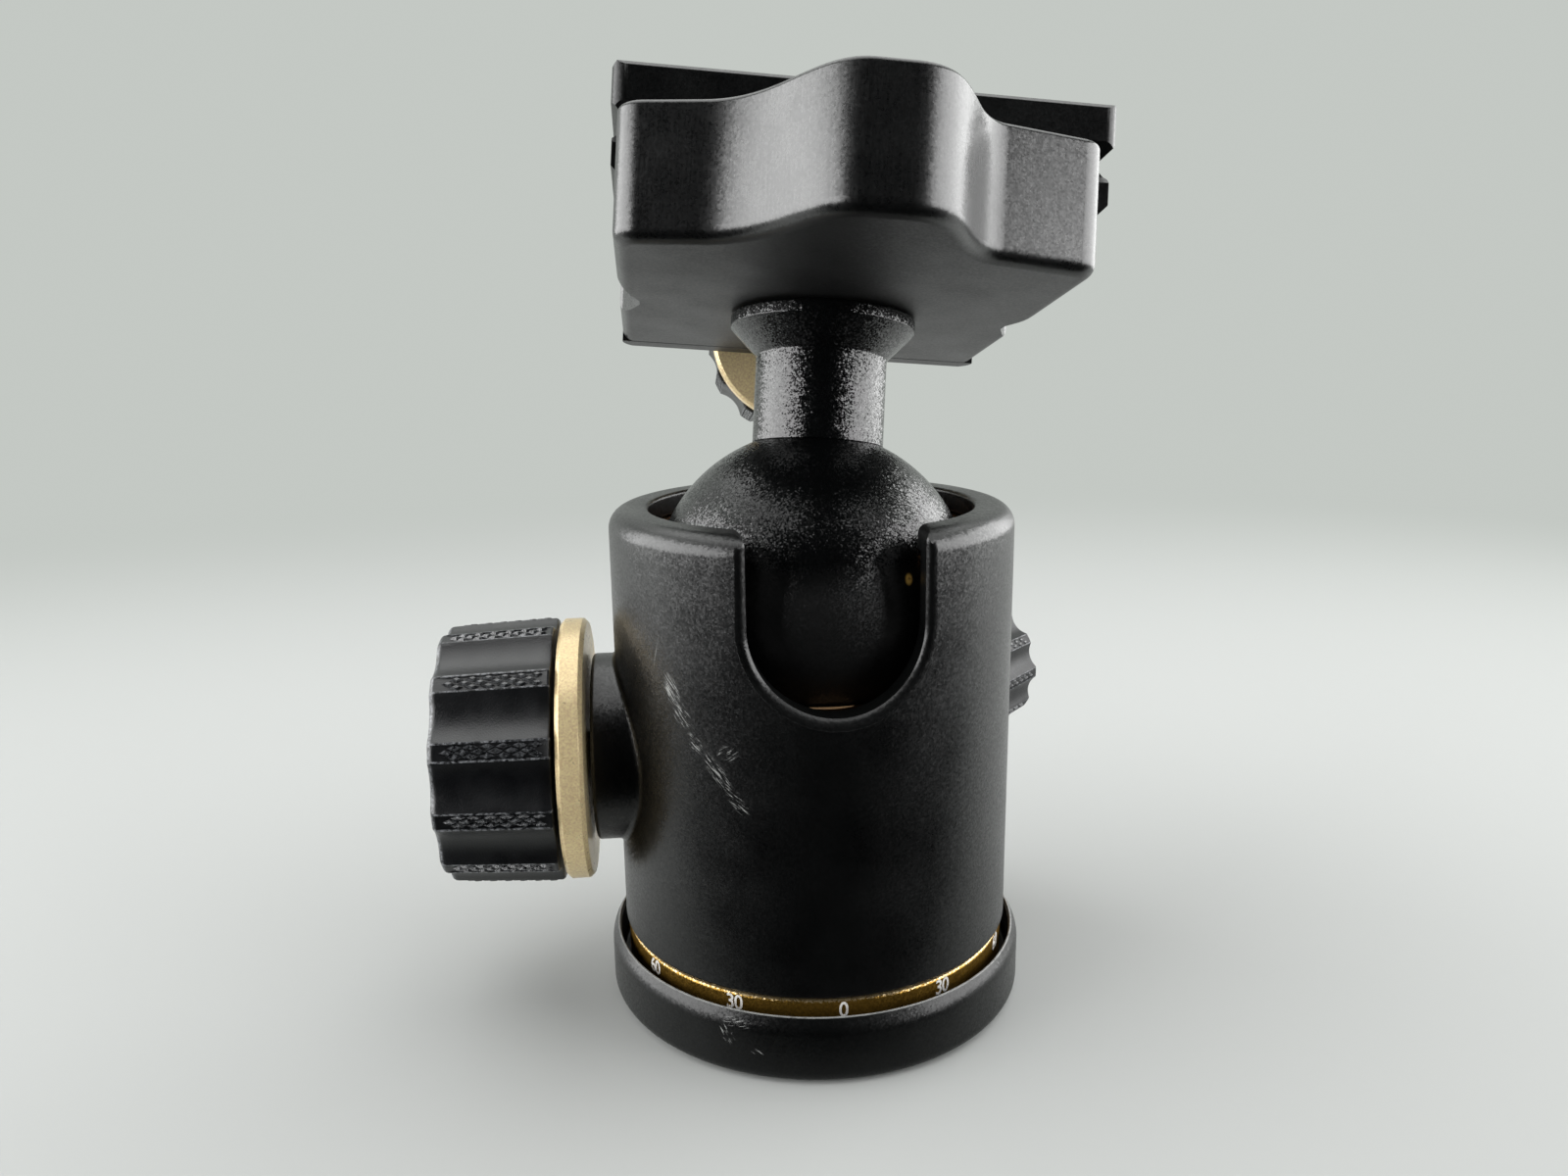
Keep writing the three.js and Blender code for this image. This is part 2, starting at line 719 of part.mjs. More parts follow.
function clampOutline() {
  const half = clampWidth / 2;
  const rise = shoulderReach - shoulderCorner;
  // Control points of one side's curves, from the side wall to the crest
  const side = [
    [half, -shoulderCorner + cornerRound],
    [half, -shoulderCorner],
    [half - cornerRound, -shoulderCorner - edgeBreak / 2],
    [half - cornerRound * 2, -shoulderCorner - rise / 3],
    [shoulderInner + cornerRound, -shoulderReach + rise / 4],
    [shoulderInner, -shoulderReach],
    [shoulderInner - shoulderCurve, -shoulderReach - shoulderCurveDrop],
    [crestFlat + crestCurve, -crestReach],
    [crestFlat, -crestReach],
  ];
  const other = side.map(([x, y]) => [-x, y]).reverse();
  const shape = new THREE.Shape();
  shape.moveTo(half, clampRear);
  shape.lineTo(...side[0]);
  shape.quadraticCurveTo(...side[1], ...side[2]);
  shape.bezierCurveTo(...side[3], ...side[4], ...side[5]);
  shape.bezierCurveTo(...side[6], ...side[7], ...side[8]);
  shape.lineTo(...other[0]);
  shape.bezierCurveTo(...other[1], ...other[2], ...other[3]);
  shape.bezierCurveTo(...other[4], ...other[5], ...other[6]);
  shape.quadraticCurveTo(...other[7], ...other[8]);
  shape.lineTo(-half, clampRear);
  return shape;
}

function makeClampBody() {
  const half = clampWidth / 2;
  let body = toSolid(prism(clampOutline(), clampBottom, clampTop, clampEdge));
  body = body.subtract(prismAlongX([
    [-jawFace, bedTop], [-jawFace, jawLip], [-jawTip, jawLip + grooveInset],
    [-jawTip, clampTop + overrun], [clampRear + overrun, clampTop + overrun], [clampRear + overrun, bedTop],
  ], -half - overrun, half + overrun));
  for (const side of [-1, 1]) {
    const notch = [
      [side * (half + overrun), -sideNotchShift - sideNotchRun / 2],
      [side * half, -sideNotchShift - sideNotchRun / 2],
      [side * (half - sideNotchDepth), -sideNotchShift - sideNotchFloor / 2],
      [side * (half - sideNotchDepth), -sideNotchShift + sideNotchFloor / 2],
      [side * half, -sideNotchShift + sideNotchRun / 2],
      [side * (half + overrun), -sideNotchShift + sideNotchRun / 2],
    ];
    body = body.subtract(toSolid(prism(notch, clampBottom - overrun, clampTop + overrun)));
  }
  const boltSeat = bedTop - channelDepth - boltHeadHeight - clearance;
  body = body.subtract(bar(boltRadius + clearance, clampBottom - overrun, bedTop + overrun, 18));
  body = body.subtract(bar(boltHead + clearance, boltSeat, bedTop + overrun, 24));
  const channelHalf = half - channelEnd;
  body = body.subtract(block(
    -channelHalf, channelHalf, -channelWidth / 2, channelWidth / 2, bedTop - channelDepth, bedTop + overrun,
  ));
  const screwBottom = clampRear - clampScrewReach - clearance;
  body = body.subtract(alongClampY(jawKnob.screwRadius + clearance, screwBottom, 0, 18));
  for (const side of [-1, 1]) {
    const x = (side * pinSpacing) / 2;
    body = body.subtract(alongClampY(pinRadius + clearance, pinStart - clearance, x, 14));
    const springRoom = pinRadius + springWall + 2 * clearance;
    body = body.subtract(alongClampY(springRoom, clampRear - springLength - clearance, x, 16));
  }
  return body;
}

// A bore that opens at the clamp's rear face and runs along +Y
function alongClampY(radius, from, x, segments, to = clampRear + overrun) {
  const geometry = new THREE.CylinderGeometry(radius, radius, to - from, segments);
  geometry.translate(x, (from + to) / 2, clampScrewHeight);
  return toSolid(geometry);
}

function makeJaw() {
  const half = clampWidth / 2;
  let jaw = prismAlongX([
    [jawInner, clampBottom], [jawOuter - clampEdge, clampBottom], [jawOuter, clampBottom + clampEdge],
    [jawOuter, clampTop - clampEdge], [jawOuter - clampEdge, clampTop], [jawTip, clampTop],
    [jawTip, jawLip + grooveInset], [jawFace, jawLip], [jawFace, plateBottom], [jawInner, plateBottom],
  ], -half, half);
  const plan = new THREE.Shape();
  plan.moveTo(-half, -overrun);
  plan.lineTo(half, -overrun);
  plan.lineTo(half, jawOuter - cornerRound);
  plan.absarc(half - cornerRound, jawOuter - cornerRound, cornerRound, 0, Math.PI / 2, false);
  plan.absarc(-half + cornerRound, jawOuter - cornerRound, cornerRound, Math.PI / 2, Math.PI, false);
  jaw = jaw.intersect(toSolid(prism(plan, clampBottom - overrun, clampTop + overrun)));
  jaw = jaw.subtract(alongClampY(jawKnob.screwRadius + clearance, 0, 0, 18, jawOuter + overrun));
  for (const side of [-1, 1]) {
    const x = (side * pinSpacing) / 2;
    jaw = jaw.subtract(alongClampY(pinRadius + clearance / 2, 0, x, 14, pinEnd + clearance / 2));
  }
  return jaw;
}

const clamp = new THREE.Group();
clamp.add(piece('clamp_body', 'blackAnodised', makeClampBody()));

function makeBolt() {
  const headBottom = bedTop - channelDepth - boltHeadHeight;
  const headTop = headBottom + boltHeadHeight;
  const bolt = bar(boltHead, headBottom, headTop, 24).add(
    bar(boltRadius, stemTop - boltReach + clearance, headTop - boltSocket, 18),
  );
  return bolt.subtract(toSolid(prism(hexagon(boltHead), headTop - boltSocket, headTop + overrun)));
}

clamp.add(piece('clamp_bolt', 'steel', makeBolt()));
clamp.add(piece('clamp_jaw', 'blackAnodised', makeJaw()));
for (const [side, word] of [[-1, 'left'], [1, 'right']]) {
  const x = (side * pinSpacing) / 2;
  clamp.add(piece(`jaw_pin_${word}`, 'steel', alongClampY(pinRadius, pinStart, x, 14, pinEnd)));
  const springEnd = clampRear;
  const springStart = springEnd - springLength;
  const spring = alongClampY(pinRadius + springWall + clearance, springStart, x, 16, springEnd);
  const core = alongClampY(pinRadius + clearance, springStart - overrun, x, 14, springEnd + overrun);
  clamp.add(piece(`jaw_spring_${word}`, 'steel', spring.subtract(core)));
}

const clampKnob = makeKnob('clamp_knob', jawKnob, jawOuter, clampRear - clampScrewReach);
clampKnob.position.set(0, 0, clampScrewHeight);
clampKnob.rotation.set(-Math.PI / 2, 0, 0);
clamp.add(clampKnob);

// Plate, with its strips, stop screws and camera screw

function dovetail(half, rise, foot) {
  const flange = half - flangeInset;
  const groove = flange - grooveInset;
  const flangeTop = plateBottom + rise;
  const lip = plateBottom + lipRise;
  const right = [
    [flange - foot, plateBottom], [flange, plateBottom + foot], [flange, flangeTop],
    [groove, flangeTop + grooveInset], [groove, lip - (half - groove)], [half, lip],
    [half, plateTop - plateEdge], [half - plateEdge, plateTop],
  ];
  const left = right.map(([x, z]) => [-x, z]).reverse();
  return [...right, ...left];
}

function roundedBox(halfX, halfY, corner) {
  const shape = new THREE.Shape();
  shape.absarc(halfX - corner, halfY - corner, corner, 0, Math.PI / 2, false);
  shape.absarc(-halfX + corner, halfY - corner, corner, Math.PI / 2, Math.PI, false);
  shape.absarc(-halfX + corner, -halfY + corner, corner, Math.PI, 1.5 * Math.PI, false);
  shape.absarc(halfX - corner, -halfY + corner, corner, 1.5 * Math.PI, 2 * Math.PI, false);
  return shape;
}

function slotBar(halfLength, radius, bottom, top) {
  const shape = new THREE.Shape();
  shape.absarc(halfLength, 0, radius, -Math.PI / 2, Math.PI / 2, false);
  shape.absarc(-halfLength, 0, radius, Math.PI / 2, 1.5 * Math.PI, false);
  return toSolid(prism(shape, bottom, top));
}

const stripPlaces = [['left', -1], ['right', 1]].map(([word, side]) => {
  const outer = side * (plateLength / 2 - stripInset);
  const inner = outer - side * stripWidth;
  return [word, Math.min(outer, inner), Math.max(outer, inner)];
});
const stripHalf = plateDepth / 2 - stripInset;
const stopHoleTop = plateBottom - stopScrewDrop + stopScrewLength + clearance;
const screwHeadBottom = plateBottom + clearance;
const screwHeadTop = screwHeadBottom + cameraScrewHeadHeight;

function makePlate() {
  const [halfX, halfY] = [plateLength / 2, plateDepth / 2];
  let plate = prismAlongY(dovetail(halfX, endRise, endEdge), -halfY, halfY);
  plate = plate.intersect(prismAlongX(dovetail(halfY, railRise, plateEdge), -halfX, halfX));
  const [below, above] = [plateBottom - overrun, plateTop + overrun];
  plate = plate.intersect(toSolid(prism(roundedBox(halfX, halfY, plateCorner), below, above)));
  const slotHalf = cameraSlotLength / 2;
  plate = plate.subtract(slotBar(slotHalf, cameraScrewRadius + clearance, below, above));
  const recessTop = screwHeadTop + clearance;
  plate = plate.subtract(slotBar(slotHalf, cameraScrewHead + clearance, below, recessTop));
  const room = clearance / 2;
  const back = stripHalf + room;
  for (const [, from, to] of stripPlaces) {
    plate = plate.subtract(block(from - room, to + room, -back, back, plateTop - stripSunk - room, above));
  }
  for (const side of [-1, 1]) {
    const x = (side * stopScrewSpacing) / 2;
    plate = plate.subtract(placedBar(stopScrewRadius + room, below, stopHoleTop, 14, x, 0));
  }
  return plate;
}

function makeCameraScrew() {
  const point = plateTop + cameraScrewStand;
  const screw = revolve([
    [0, screwHeadBottom],
    [cameraScrewHead, screwHeadBottom],
    [cameraScrewHead, screwHeadTop],
    [cameraScrewRadius, screwHeadTop],
    [cameraScrewRadius, point - edgeBreak],
    [cameraScrewRadius - edgeBreak, point],
    [0, point],
  ], 24);
  const half = cameraScrewSlot / 2;
  const slotTop = screwHeadBottom + cameraScrewHeadHeight / 2;
  return screw.subtract(block(-cameraScrewHead, cameraScrewHead, -half, half, plateBottom, slotTop));
}

const plate = new THREE.Group();
plate.position.set(plateShift, 0, 0);
plate.add(piece('plate', 'blackAnodised', makePlate()));
for (const [word, from, to] of stripPlaces) {
  const strip = block(from, to, -stripHalf, stripHalf, plateTop - stripSunk, plateTop + stripStand);
  plate.add(piece(`plate_strip_${word}`, 'gripRubber', strip));
}
for (const [side, word] of [[-1, 'left'], [1, 'right']]) {
  const x = (side * stopScrewSpacing) / 2;
  const bottom = plateBottom - stopScrewDrop;
  const top = bottom + stopScrewLength;
  plate.add(piece(`stop_screw_${word}`, 'steel', placedBar(stopScrewRadius, bottom, top, 14, x, 0)));
}
plate.add(piece('camera_screw', 'steel', makeCameraScrew()));
clamp.add(plate);
stemGroup.add(clamp);
housing.add(ballGroup);

const ballHead = new THREE.Group();
ballHead.add(base, housing);

export default ballHead;
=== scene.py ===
import json
import math
from functools import partial
import bpy
import bmesh
from mathutils import Matrix, Vector


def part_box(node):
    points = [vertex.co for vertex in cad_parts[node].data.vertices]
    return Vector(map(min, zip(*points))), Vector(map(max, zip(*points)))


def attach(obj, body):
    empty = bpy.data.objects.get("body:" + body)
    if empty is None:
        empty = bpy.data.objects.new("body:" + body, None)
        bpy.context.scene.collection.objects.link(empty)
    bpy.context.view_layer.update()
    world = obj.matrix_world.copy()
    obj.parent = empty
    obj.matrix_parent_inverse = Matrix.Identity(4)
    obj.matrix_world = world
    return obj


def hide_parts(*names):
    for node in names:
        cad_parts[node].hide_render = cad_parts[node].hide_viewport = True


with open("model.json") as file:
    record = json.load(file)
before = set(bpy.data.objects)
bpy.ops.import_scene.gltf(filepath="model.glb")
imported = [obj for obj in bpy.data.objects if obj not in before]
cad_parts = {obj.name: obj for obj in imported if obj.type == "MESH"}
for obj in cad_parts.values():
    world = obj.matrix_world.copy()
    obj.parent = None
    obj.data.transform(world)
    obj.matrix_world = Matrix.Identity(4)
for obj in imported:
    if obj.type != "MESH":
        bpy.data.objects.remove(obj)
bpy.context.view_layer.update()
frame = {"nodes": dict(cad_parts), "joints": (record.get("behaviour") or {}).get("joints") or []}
joints = {joint["name"]: joint for joint in frame["joints"]}
print("frame loaded")

# Pieces are modelled in millimetres about the axis that they belong to, then put in place in metres
toMetres = Matrix.Scale(0.001, 4)
up = Vector((0, 0, 1))


def axisOf(joint):
    return Vector(joints[joint]["axis"]).normalized()


def basis(origin, xAxis, zAxis):
    yAxis = zAxis.cross(xAxis).normalized()
    xAxis = yAxis.cross(zAxis)
    turn = Matrix((xAxis, yAxis, zAxis)).transposed().to_4x4()
    return Matrix.Translation(origin) @ turn @ toMetres


def alongJoint(joint, xAxis, lead):
    axis = axisOf(joint)
    return basis(Vector(joints[joint]["pos_m"]) - axis * lead * 0.001, xAxis, axis)


ballCentre = Vector(joints["ball_side"]["pos_m"])
ballHeight = ballCentre.z * 1000
uprightPlace = toMetres
clampPlace = basis(ballCentre, axisOf("plate_slide"), axisOf("clamp_spin"))
lockPlace = alongJoint("lock_knob_turn", up, 30)
panPlace = alongJoint("pan_knob_turn", up, 30)
clampKnobPlace = alongJoint("clamp_knob_turn", axisOf("plate_slide"), 28)
knobHeight = lockPlace.translation.z * 1000
clampScrewHeight = (clampPlace.inverted() @ clampKnobPlace.translation).z


# Outlines

def filleted(corners, closed=True, steps=5):
    # corners are (x, y, fillet radius)
    line = []
    count = len(corners)
    for i, (x, y, radius) in enumerate(corners):
        here = Vector((x, y))
        if radius <= 0 or (not closed and i in (0, count - 1)):
            line.append((x, y))
            continue
        before = Vector(corners[i - 1][:2]) - here
        after = Vector(corners[(i + 1) % count][:2]) - here
        half = before.angle(after) / 2
        reach = min(radius / math.tan(half), before.length * 0.49, after.length * 0.49)
        start = here + before.normalized() * reach
        end = here + after.normalized() * reach
        centre = here + (before.normalized() + after.normalized()).normalized() * reach / math.cos(half)
        first = start - centre
        sweep = first.angle_signed(end - centre)
        for step in range(steps + 1):
            turn = -sweep * step / steps
            c, s = math.cos(turn), math.sin(turn)
            line.append((centre.x + first.x * c - first.y * s, centre.y + first.x * s + first.y * c))
    return line


def inset(line, distance):
    moved = []
    count = len(line)
    for i in range(count):
        here = Vector(line[i])
        before = (here - Vector(line[i - 1])).normalized()
        after = (Vector(line[(i + 1) % count]) - here).normalized()
        normal = Vector((-before.y - after.y, before.x + after.x)).normalized()
        share = max(0.3, normal.dot(Vector((-before.y, before.x))))
        moved.append(tuple(here + normal * distance / share))
    return moved


def arcLine(centreX, centreY, radius, fromDegrees, toDegrees, steps):
    line = []
    for step in range(steps + 1):
        angle = math.radians(fromDegrees + (toDegrees - fromDegrees) * step / steps)
        line.append((centreX + radius * math.cos(angle), centreY + radius * math.sin(angle)))
    return line


def bezier(a, b, c, d, steps):
    line = []
    for step in range(1, steps + 1):
        t = step / steps
        weights = ((1 - t) ** 3, 3 * t * (1 - t) ** 2, 3 * t * t * (1 - t), t ** 3)
        line.append(tuple(sum(w * p[k] for w, p in zip(weights, (a, b, c, d))) for k in range(2)))
    return line


def rectangle(left, front, right, back, corner=0.0, steps=5):
    return filleted([(left, front, corner), (right, front, corner), (right, back, corner),
                     (left, back, corner)], steps=steps)


def refined(line, longest):
    # the same closed line with its long runs cut into shorter ones
    fine = []
    for i, point in enumerate(line):
        following = line[(i + 1) % len(line)]
        gap = math.dist(point, following)
        pieces = max(1, math.ceil(gap / longest))
        for k in range(pieces):
            fine.append(tuple(p + (q - p) * k / pieces for p, q in zip(point, following)))
    return fine


# Meshes

def added(name, data):
    made = bpy.data.objects.new(name, data)
    bpy.context.scene.collection.objects.link(made)
    return made


def meshObject(name, vertices, faces):
    mesh = bpy.data.meshes.new(name)
    mesh.from_pydata(vertices, [], faces)
    shape = bmesh.new()
    shape.from_mesh(mesh)
    bmesh.ops.remove_doubles(shape, verts=shape.verts, dist=1e-5)
    bmesh.ops.recalc_face_normals(shape, faces=shape.faces)
    shape.to_mesh(mesh)
    shape.free()
    return added(name, mesh)


def lofted(name, rings, closed=False):
    # rings of the same number of points, joined in order, with flat ends unless it closes on itself
    size = len(rings[0])
    vertices = [point for ring in rings for point in ring]
    faces = []
    spans = len(rings) if closed else len(rings) - 1
    for r in range(spans):
        a, b = r * size, (r + 1) % len(rings) * size
        for k in range(size):
            following = (k + 1) % size
            faces.append((a + k, a + following, b + following, b + k))
    if not closed:
        faces.append(tuple(range(size))[::-1])
        faces.append(tuple(range((len(rings) - 1) * size, len(rings) * size)))
    return meshObject(name, vertices, faces)


def turned(name, line, steps=128):
    # line is a closed outline of (radius, height); points on the axis become poles
    vertices, rows = [], []
    for radius, height in line:
        if radius < 1e-6:
            rows.append([len(vertices)] * steps)
            vertices.append((0, 0, height))
            continue
        rows.append(list(range(len(vertices), len(vertices) + steps)))
        for k in range(steps):
            angle = 2 * math.pi * k / steps
            vertices.append((radius * math.cos(angle), radius * math.sin(angle), height))
    faces = []
    for i, row in enumerate(rows):
        other = rows[(i + 1) % len(rows)]
        for k in range(steps):
            following = (k + 1) % steps
            corners = []
            for index in (row[k], row[following], other[following], other[k]):
                if index not in corners:
                    corners.append(index)
            if len(corners) > 2:
                faces.append(tuple(corners))
    return meshObject(name, vertices, faces)


def extruded(name, outline, low, high, lowEdge=0.0, highEdge=0.0, steps=4):
    # an outline, anticlockwise, pulled up along Z with rounded edges at its foot and its top
    turns = [math.pi / 2 * step / steps for step in range(steps + 1)]
    levels = [(lowEdge * (1 - math.sin(turn)), low + lowEdge * (1 - math.cos(turn)))
              for turn in (turns if lowEdge > 0 else turns[-1:])]
    levels += [(highEdge * (1 - math.cos(turn)), high - highEdge * (1 - math.sin(turn)))
               for turn in (turns if highEdge > 0 else turns[:1])]
    rings = [[(x, y, height) for x, y in (inset(outline, depth) if depth > 1e-6 else outline)]
             for depth, height in levels]
    return lofted(name, rings)


def alongX(name, outline, start, end):
    return lofted(name, [[(x, y, z) for y, z in outline] for x in (start, end)])


def alongY(name, outline, start, end):
    return lofted(name, [[(x, y, z) for x, z in outline] for y in (start, end)])


def roundBar(name, radius, start, end, steps=48):
    return turned(name, [(0, start), (radius, start), (radius, end), (0, end)], steps)


def evaluatedMesh(piece):
    graph = bpy.context.evaluated_depsgraph_get()
    return bpy.data.meshes.new_from_object(piece.evaluated_get(graph))


def settle(piece):
    # the modifiers become part of the mesh
    mesh = evaluatedMesh(piece)
    old = piece.data
    piece.modifiers.clear()
    piece.data = mesh
    if old.users == 0:
        bpy.data.meshes.remove(old)
    return piece


def combined(piece, tool, operation="DIFFERENCE"):
    change = piece.modifiers.new("change", "BOOLEAN")
    change.operation = operation
    change.solver = "EXACT"
    change.object = tool
    settle(piece)
    bpy.data.objects.remove(tool)
    return piece


def turnedTool(tool, matrix):
    tool.data.transform(matrix)
    return tool


def finished(piece, place, material, body, replaced=(), sharpAngle=38):
    piece.data.transform(place)
    piece.data.materials.clear()
    piece.data.materials.append(material)
    for polygon in piece.data.polygons:
        polygon.use_smooth = True
        polygon.material_index = 0
    piece.data.set_sharp_from_angle(angle=math.radians(sharpAngle))
    weigh = piece.modifiers.new("weigh", "WEIGHTED_NORMAL")
    weigh.keep_sharp = True
    settle(piece)
    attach(piece, body)
    if replaced:
        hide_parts(*replaced)
    return piece


# Shader helpers

def shaderNode(tree, kind, inputs=None, **properties):
    made = tree.nodes.new(kind)
    for key, value in properties.items():
        setattr(made, key, value)
    for socket, value in (inputs or {}).items():
        target = made.inputs[socket]
        if isinstance(value, bpy.types.NodeSocket):
            tree.links.new(value, target)
        else:
            target.default_value = value
    return made


def newMaterial(name, color, roughness, metallic=0.0, ior=1.5):
    material = bpy.data.materials.new(name)
    material.use_nodes = True
    tree = material.node_tree
    shader = tree.nodes["Principled BSDF"]
    shader.inputs["Base Color"].default_value = (*color, 1)
    shader.inputs["Roughness"].default_value = roughness
    shader.inputs["Metallic"].default_value = metallic
    shader.inputs["IOR"].default_value = ior
    return material, tree, shader


def painted(tree, shader, color, rough=None):
    tree.links.new(color, shader.inputs["Base Color"])
    if rough is not None:
        tree.links.new(rough, shader.inputs["Roughness"])


def coordinates(tree, place):
    # the millimetres of a piece's own place
    texture = shaderNode(tree, "ShaderNodeTexCoord")
    back = place.inverted()
    mapping = shaderNode(tree, "ShaderNodeMapping", {"Vector": texture.outputs["Object"]})
    mapping.inputs["Location"].default_value = back.translation
    mapping.inputs["Rotation"].default_value = back.to_3x3().normalized().to_euler()
    mapping.inputs["Scale"].default_value = (1000, 1000, 1000)
    return mapping.outputs["Vector"]


def noise(tree, vector, scale, detail=2.0, roughness=0.5):
    made = shaderNode(tree, "ShaderNodeTexNoise", {
        "Vector": vector, "Scale": scale, "Detail": detail, "Roughness": roughness})
    return made.outputs["Fac"]


def stretched(tree, vector, scale):
    made = shaderNode(tree, "ShaderNodeMapping", {"Vector": vector, "Scale": scale})
    return made.outputs["Vector"]


def ranged(tree, value, low, high, toLow=0.0, toHigh=1.0):
    made = shaderNode(tree, "ShaderNodeMapRange", {
        "Value": value, "From Min": low, "From Max": high, "To Min": toLow, "To Max": toHigh})
    return made.outputs["Result"]


def maths(tree, operation, first, second=0.0):
    made = shaderNode(tree, "ShaderNodeMath", {0: first, 1: second}, operation=operation)
    return made.outputs["Value"]


def vectorMaths(tree, operation, *inputs):
    made = shaderNode(tree, "ShaderNodeVectorMath", dict(enumerate(inputs)), operation=operation)
    return made.outputs["Value" if operation in ("LENGTH", "DOT_PRODUCT") else "Vector"]


def vectorOf(tree, x=0.0, y=0.0, z=0.0):
    return shaderNode(tree, "ShaderNodeCombineXYZ", {"X": x, "Y": y, "Z": z}).outputs["Vector"]


def partOf(tree, vector, axis):
    return shaderNode(tree, "ShaderNodeSeparateXYZ", {"Vector": vector}).outputs[axis]


def mixed(tree, factor, first, second):
    made = shaderNode(tree, "ShaderNodeMix", {"Factor": factor}, data_type="RGBA")
    for socket, value in ((made.inputs[6], first), (made.inputs[7], second)):
        if isinstance(value, bpy.types.NodeSocket):
            tree.links.new(value, socket)
        else:
            socket.default_value = (*value, 1)
    return made.outputs[2]


def bumped(tree, shader, height, strength, distance, under=None):
    inputs = {"Height": height, "Strength": strength, "Distance": distance}
    if under is not None:
        inputs["Normal"] = under
    made = shaderNode(tree, "ShaderNodeBump", inputs)
    tree.links.new(made.outputs["Normal"], shader.inputs["Normal"])


def grained(tree, local, grainSize, lean):
    # every grain of a blasted surface is a small facet that leans its own way, which makes it glitter
    cells = shaderNode(tree, "ShaderNodeTexVoronoi", {"Vector": local, "Scale": 1 / grainSize})
    centred = vectorMaths(tree, "SUBTRACT", cells.outputs["Color"], (0.5, 0.5, 0.5))
    offset = vectorMaths(tree, "MULTIPLY", centred, (lean, lean, lean))
    surface = shaderNode(tree, "ShaderNodeNewGeometry").outputs["Normal"]
    return vectorMaths(tree, "NORMALIZE", vectorMaths(tree, "ADD", surface, offset))


# Finishes, each with its colours and the size of its grain in millimetres

# satin's worn colour is for scratches, and for the painted highlight on the cup's lip
satin = {
    "color": (0.0012, 0.0015, 0.0016), "dark": (0.0008, 0.001, 0.0011), "light": (0.0017, 0.0021, 0.0021),
    "worn": (0.34, 0.345, 0.335), "wornRough": 0.15, "grainSize": 0.2, "lean": 0.11,
}
blasted = {
    "color": (0.0014, 0.0017, 0.0018), "dark": (0.001, 0.0012, 0.0013), "light": (0.0018, 0.0022, 0.0023),
    "chipped": (0.55, 0.33, 0.08), "greaseFade": 3.5, "greaseRough": 0.26, "grainSize": 0.15,
}
gold = {"dark": 0.8, "light": 1.12, "grainSize": 0.16, "lean": 0.2}
# rubber's worn colour is the painted highlight, with wear, on the grip's ridges and knurls
rubber = {
    "color": (0.003, 0.0035, 0.0045), "dark": (0.0022, 0.0026, 0.0036), "light": (0.0042, 0.0048, 0.0062),
    "dust": (0.02, 0.021, 0.022), "worn": (0.3, 0.31, 0.33),
}
metal = {"rings": (0.15, 0.15, 6.0), "tarnish": 0.72}
paint = {"worn": (0.32, 0.27, 0.2), "roughness": 0.55}


def shaded(color, share):
    return tuple(c * share for c in color)


def satinBlack(name, place=toMetres, grain=1.0, marks=None, ior=1.6, brushed=False, roughness=0.33,
               matteUnder=0.0):
    # black anodised aluminium: deep black with a faint green tint, a fine grain and a little handling wear
    material, tree, shader = newMaterial(name, satin["color"], roughness, 0.0, ior)
    local = coordinates(tree, place)
    cloud = noise(tree, local, 0.16, 3)
    fine = noise(tree, local, 3.4, 2, 0.6)
    streak = noise(tree, stretched(tree, local, (6, 6, 0.35)), 1.0, 2, 0.6)
    blotch = ranged(tree, cloud, 0.35, 0.7)
    color = mixed(tree, blotch, satin["dark"], satin["light"])
    rough = ranged(tree, cloud, 0.3, 0.75, roughness - 0.03, roughness + 0.05)
    rough = maths(tree, "ADD", rough, ranged(tree, fine, 0.15, 0.85, -0.07, 0.07))
    if brushed:
        rough = maths(tree, "ADD", rough, ranged(tree, streak, 0.3, 0.75, -0.025, 0.035))
    if matteUnder > 0:
        # faces that look down are left as they come out of the blasting
        normal = shaderNode(tree, "ShaderNodeTexCoord").outputs["Normal"]
        facing = vectorMaths(tree, "DOT_PRODUCT", normal, -place.to_3x3().col[2].normalized())
        rough = maths(tree, "ADD", rough, ranged(tree, facing, 0.75, 0.98, 0, matteUnder))
    if marks is not None:
        # marks are scratches, and on the cup also the painted highlight on its lip
        wearAndHighlight = marks(tree, local)
        color = mixed(tree, wearAndHighlight, color, satin["worn"])
        rough = maths(tree, "ADD", rough, maths(tree, "MULTIPLY", wearAndHighlight, satin["wornRough"]))
    painted(tree, shader, color, rough)
    height = maths(tree, "ADD", fine, maths(tree, "MULTIPLY", streak, 0.35 if brushed else 0.0))
    facets = grained(tree, local, satin["grainSize"], satin["lean"] * grain)
    bumped(tree, shader, height, 0.4 * grain, 0.00002, facets)
    return material


def blastedBlack(name, place, ior, roughness, lean, chip=None, greasedBelow=None):
    # bead-blasted and anodised black, which sparkles where light hits it
    material, tree, shader = newMaterial(name, blasted["color"], roughness, 0.0, ior)
    local = coordinates(tree, place)
    grain = noise(tree, local, 4.6, 1, 0.5)
    blotch = ranged(tree, noise(tree, local, 0.2, 2), 0.35, 0.7)
    color = mixed(tree, blotch, blasted["dark"], blasted["light"])
    if chip is not None:
        color = mixed(tree, chip(tree, local), color, blasted["chipped"])
    rough = ranged(tree, grain, 0.2, 0.8, roughness - 0.03, roughness + 0.04)
    if greasedBelow is not None:
        # grease from the seat dulls the lower part
        dull = ranged(tree, partOf(tree, local, "Z"), greasedBelow - blasted["greaseFade"], greasedBelow,
                      blasted["greaseRough"], 0)
        rough = maths(tree, "ADD", rough, dull)
    painted(tree, shader, color, rough)
    bumped(tree, shader, grain, 0.5, 0.00002, grained(tree, local, blasted["grainSize"], lean))
    return material


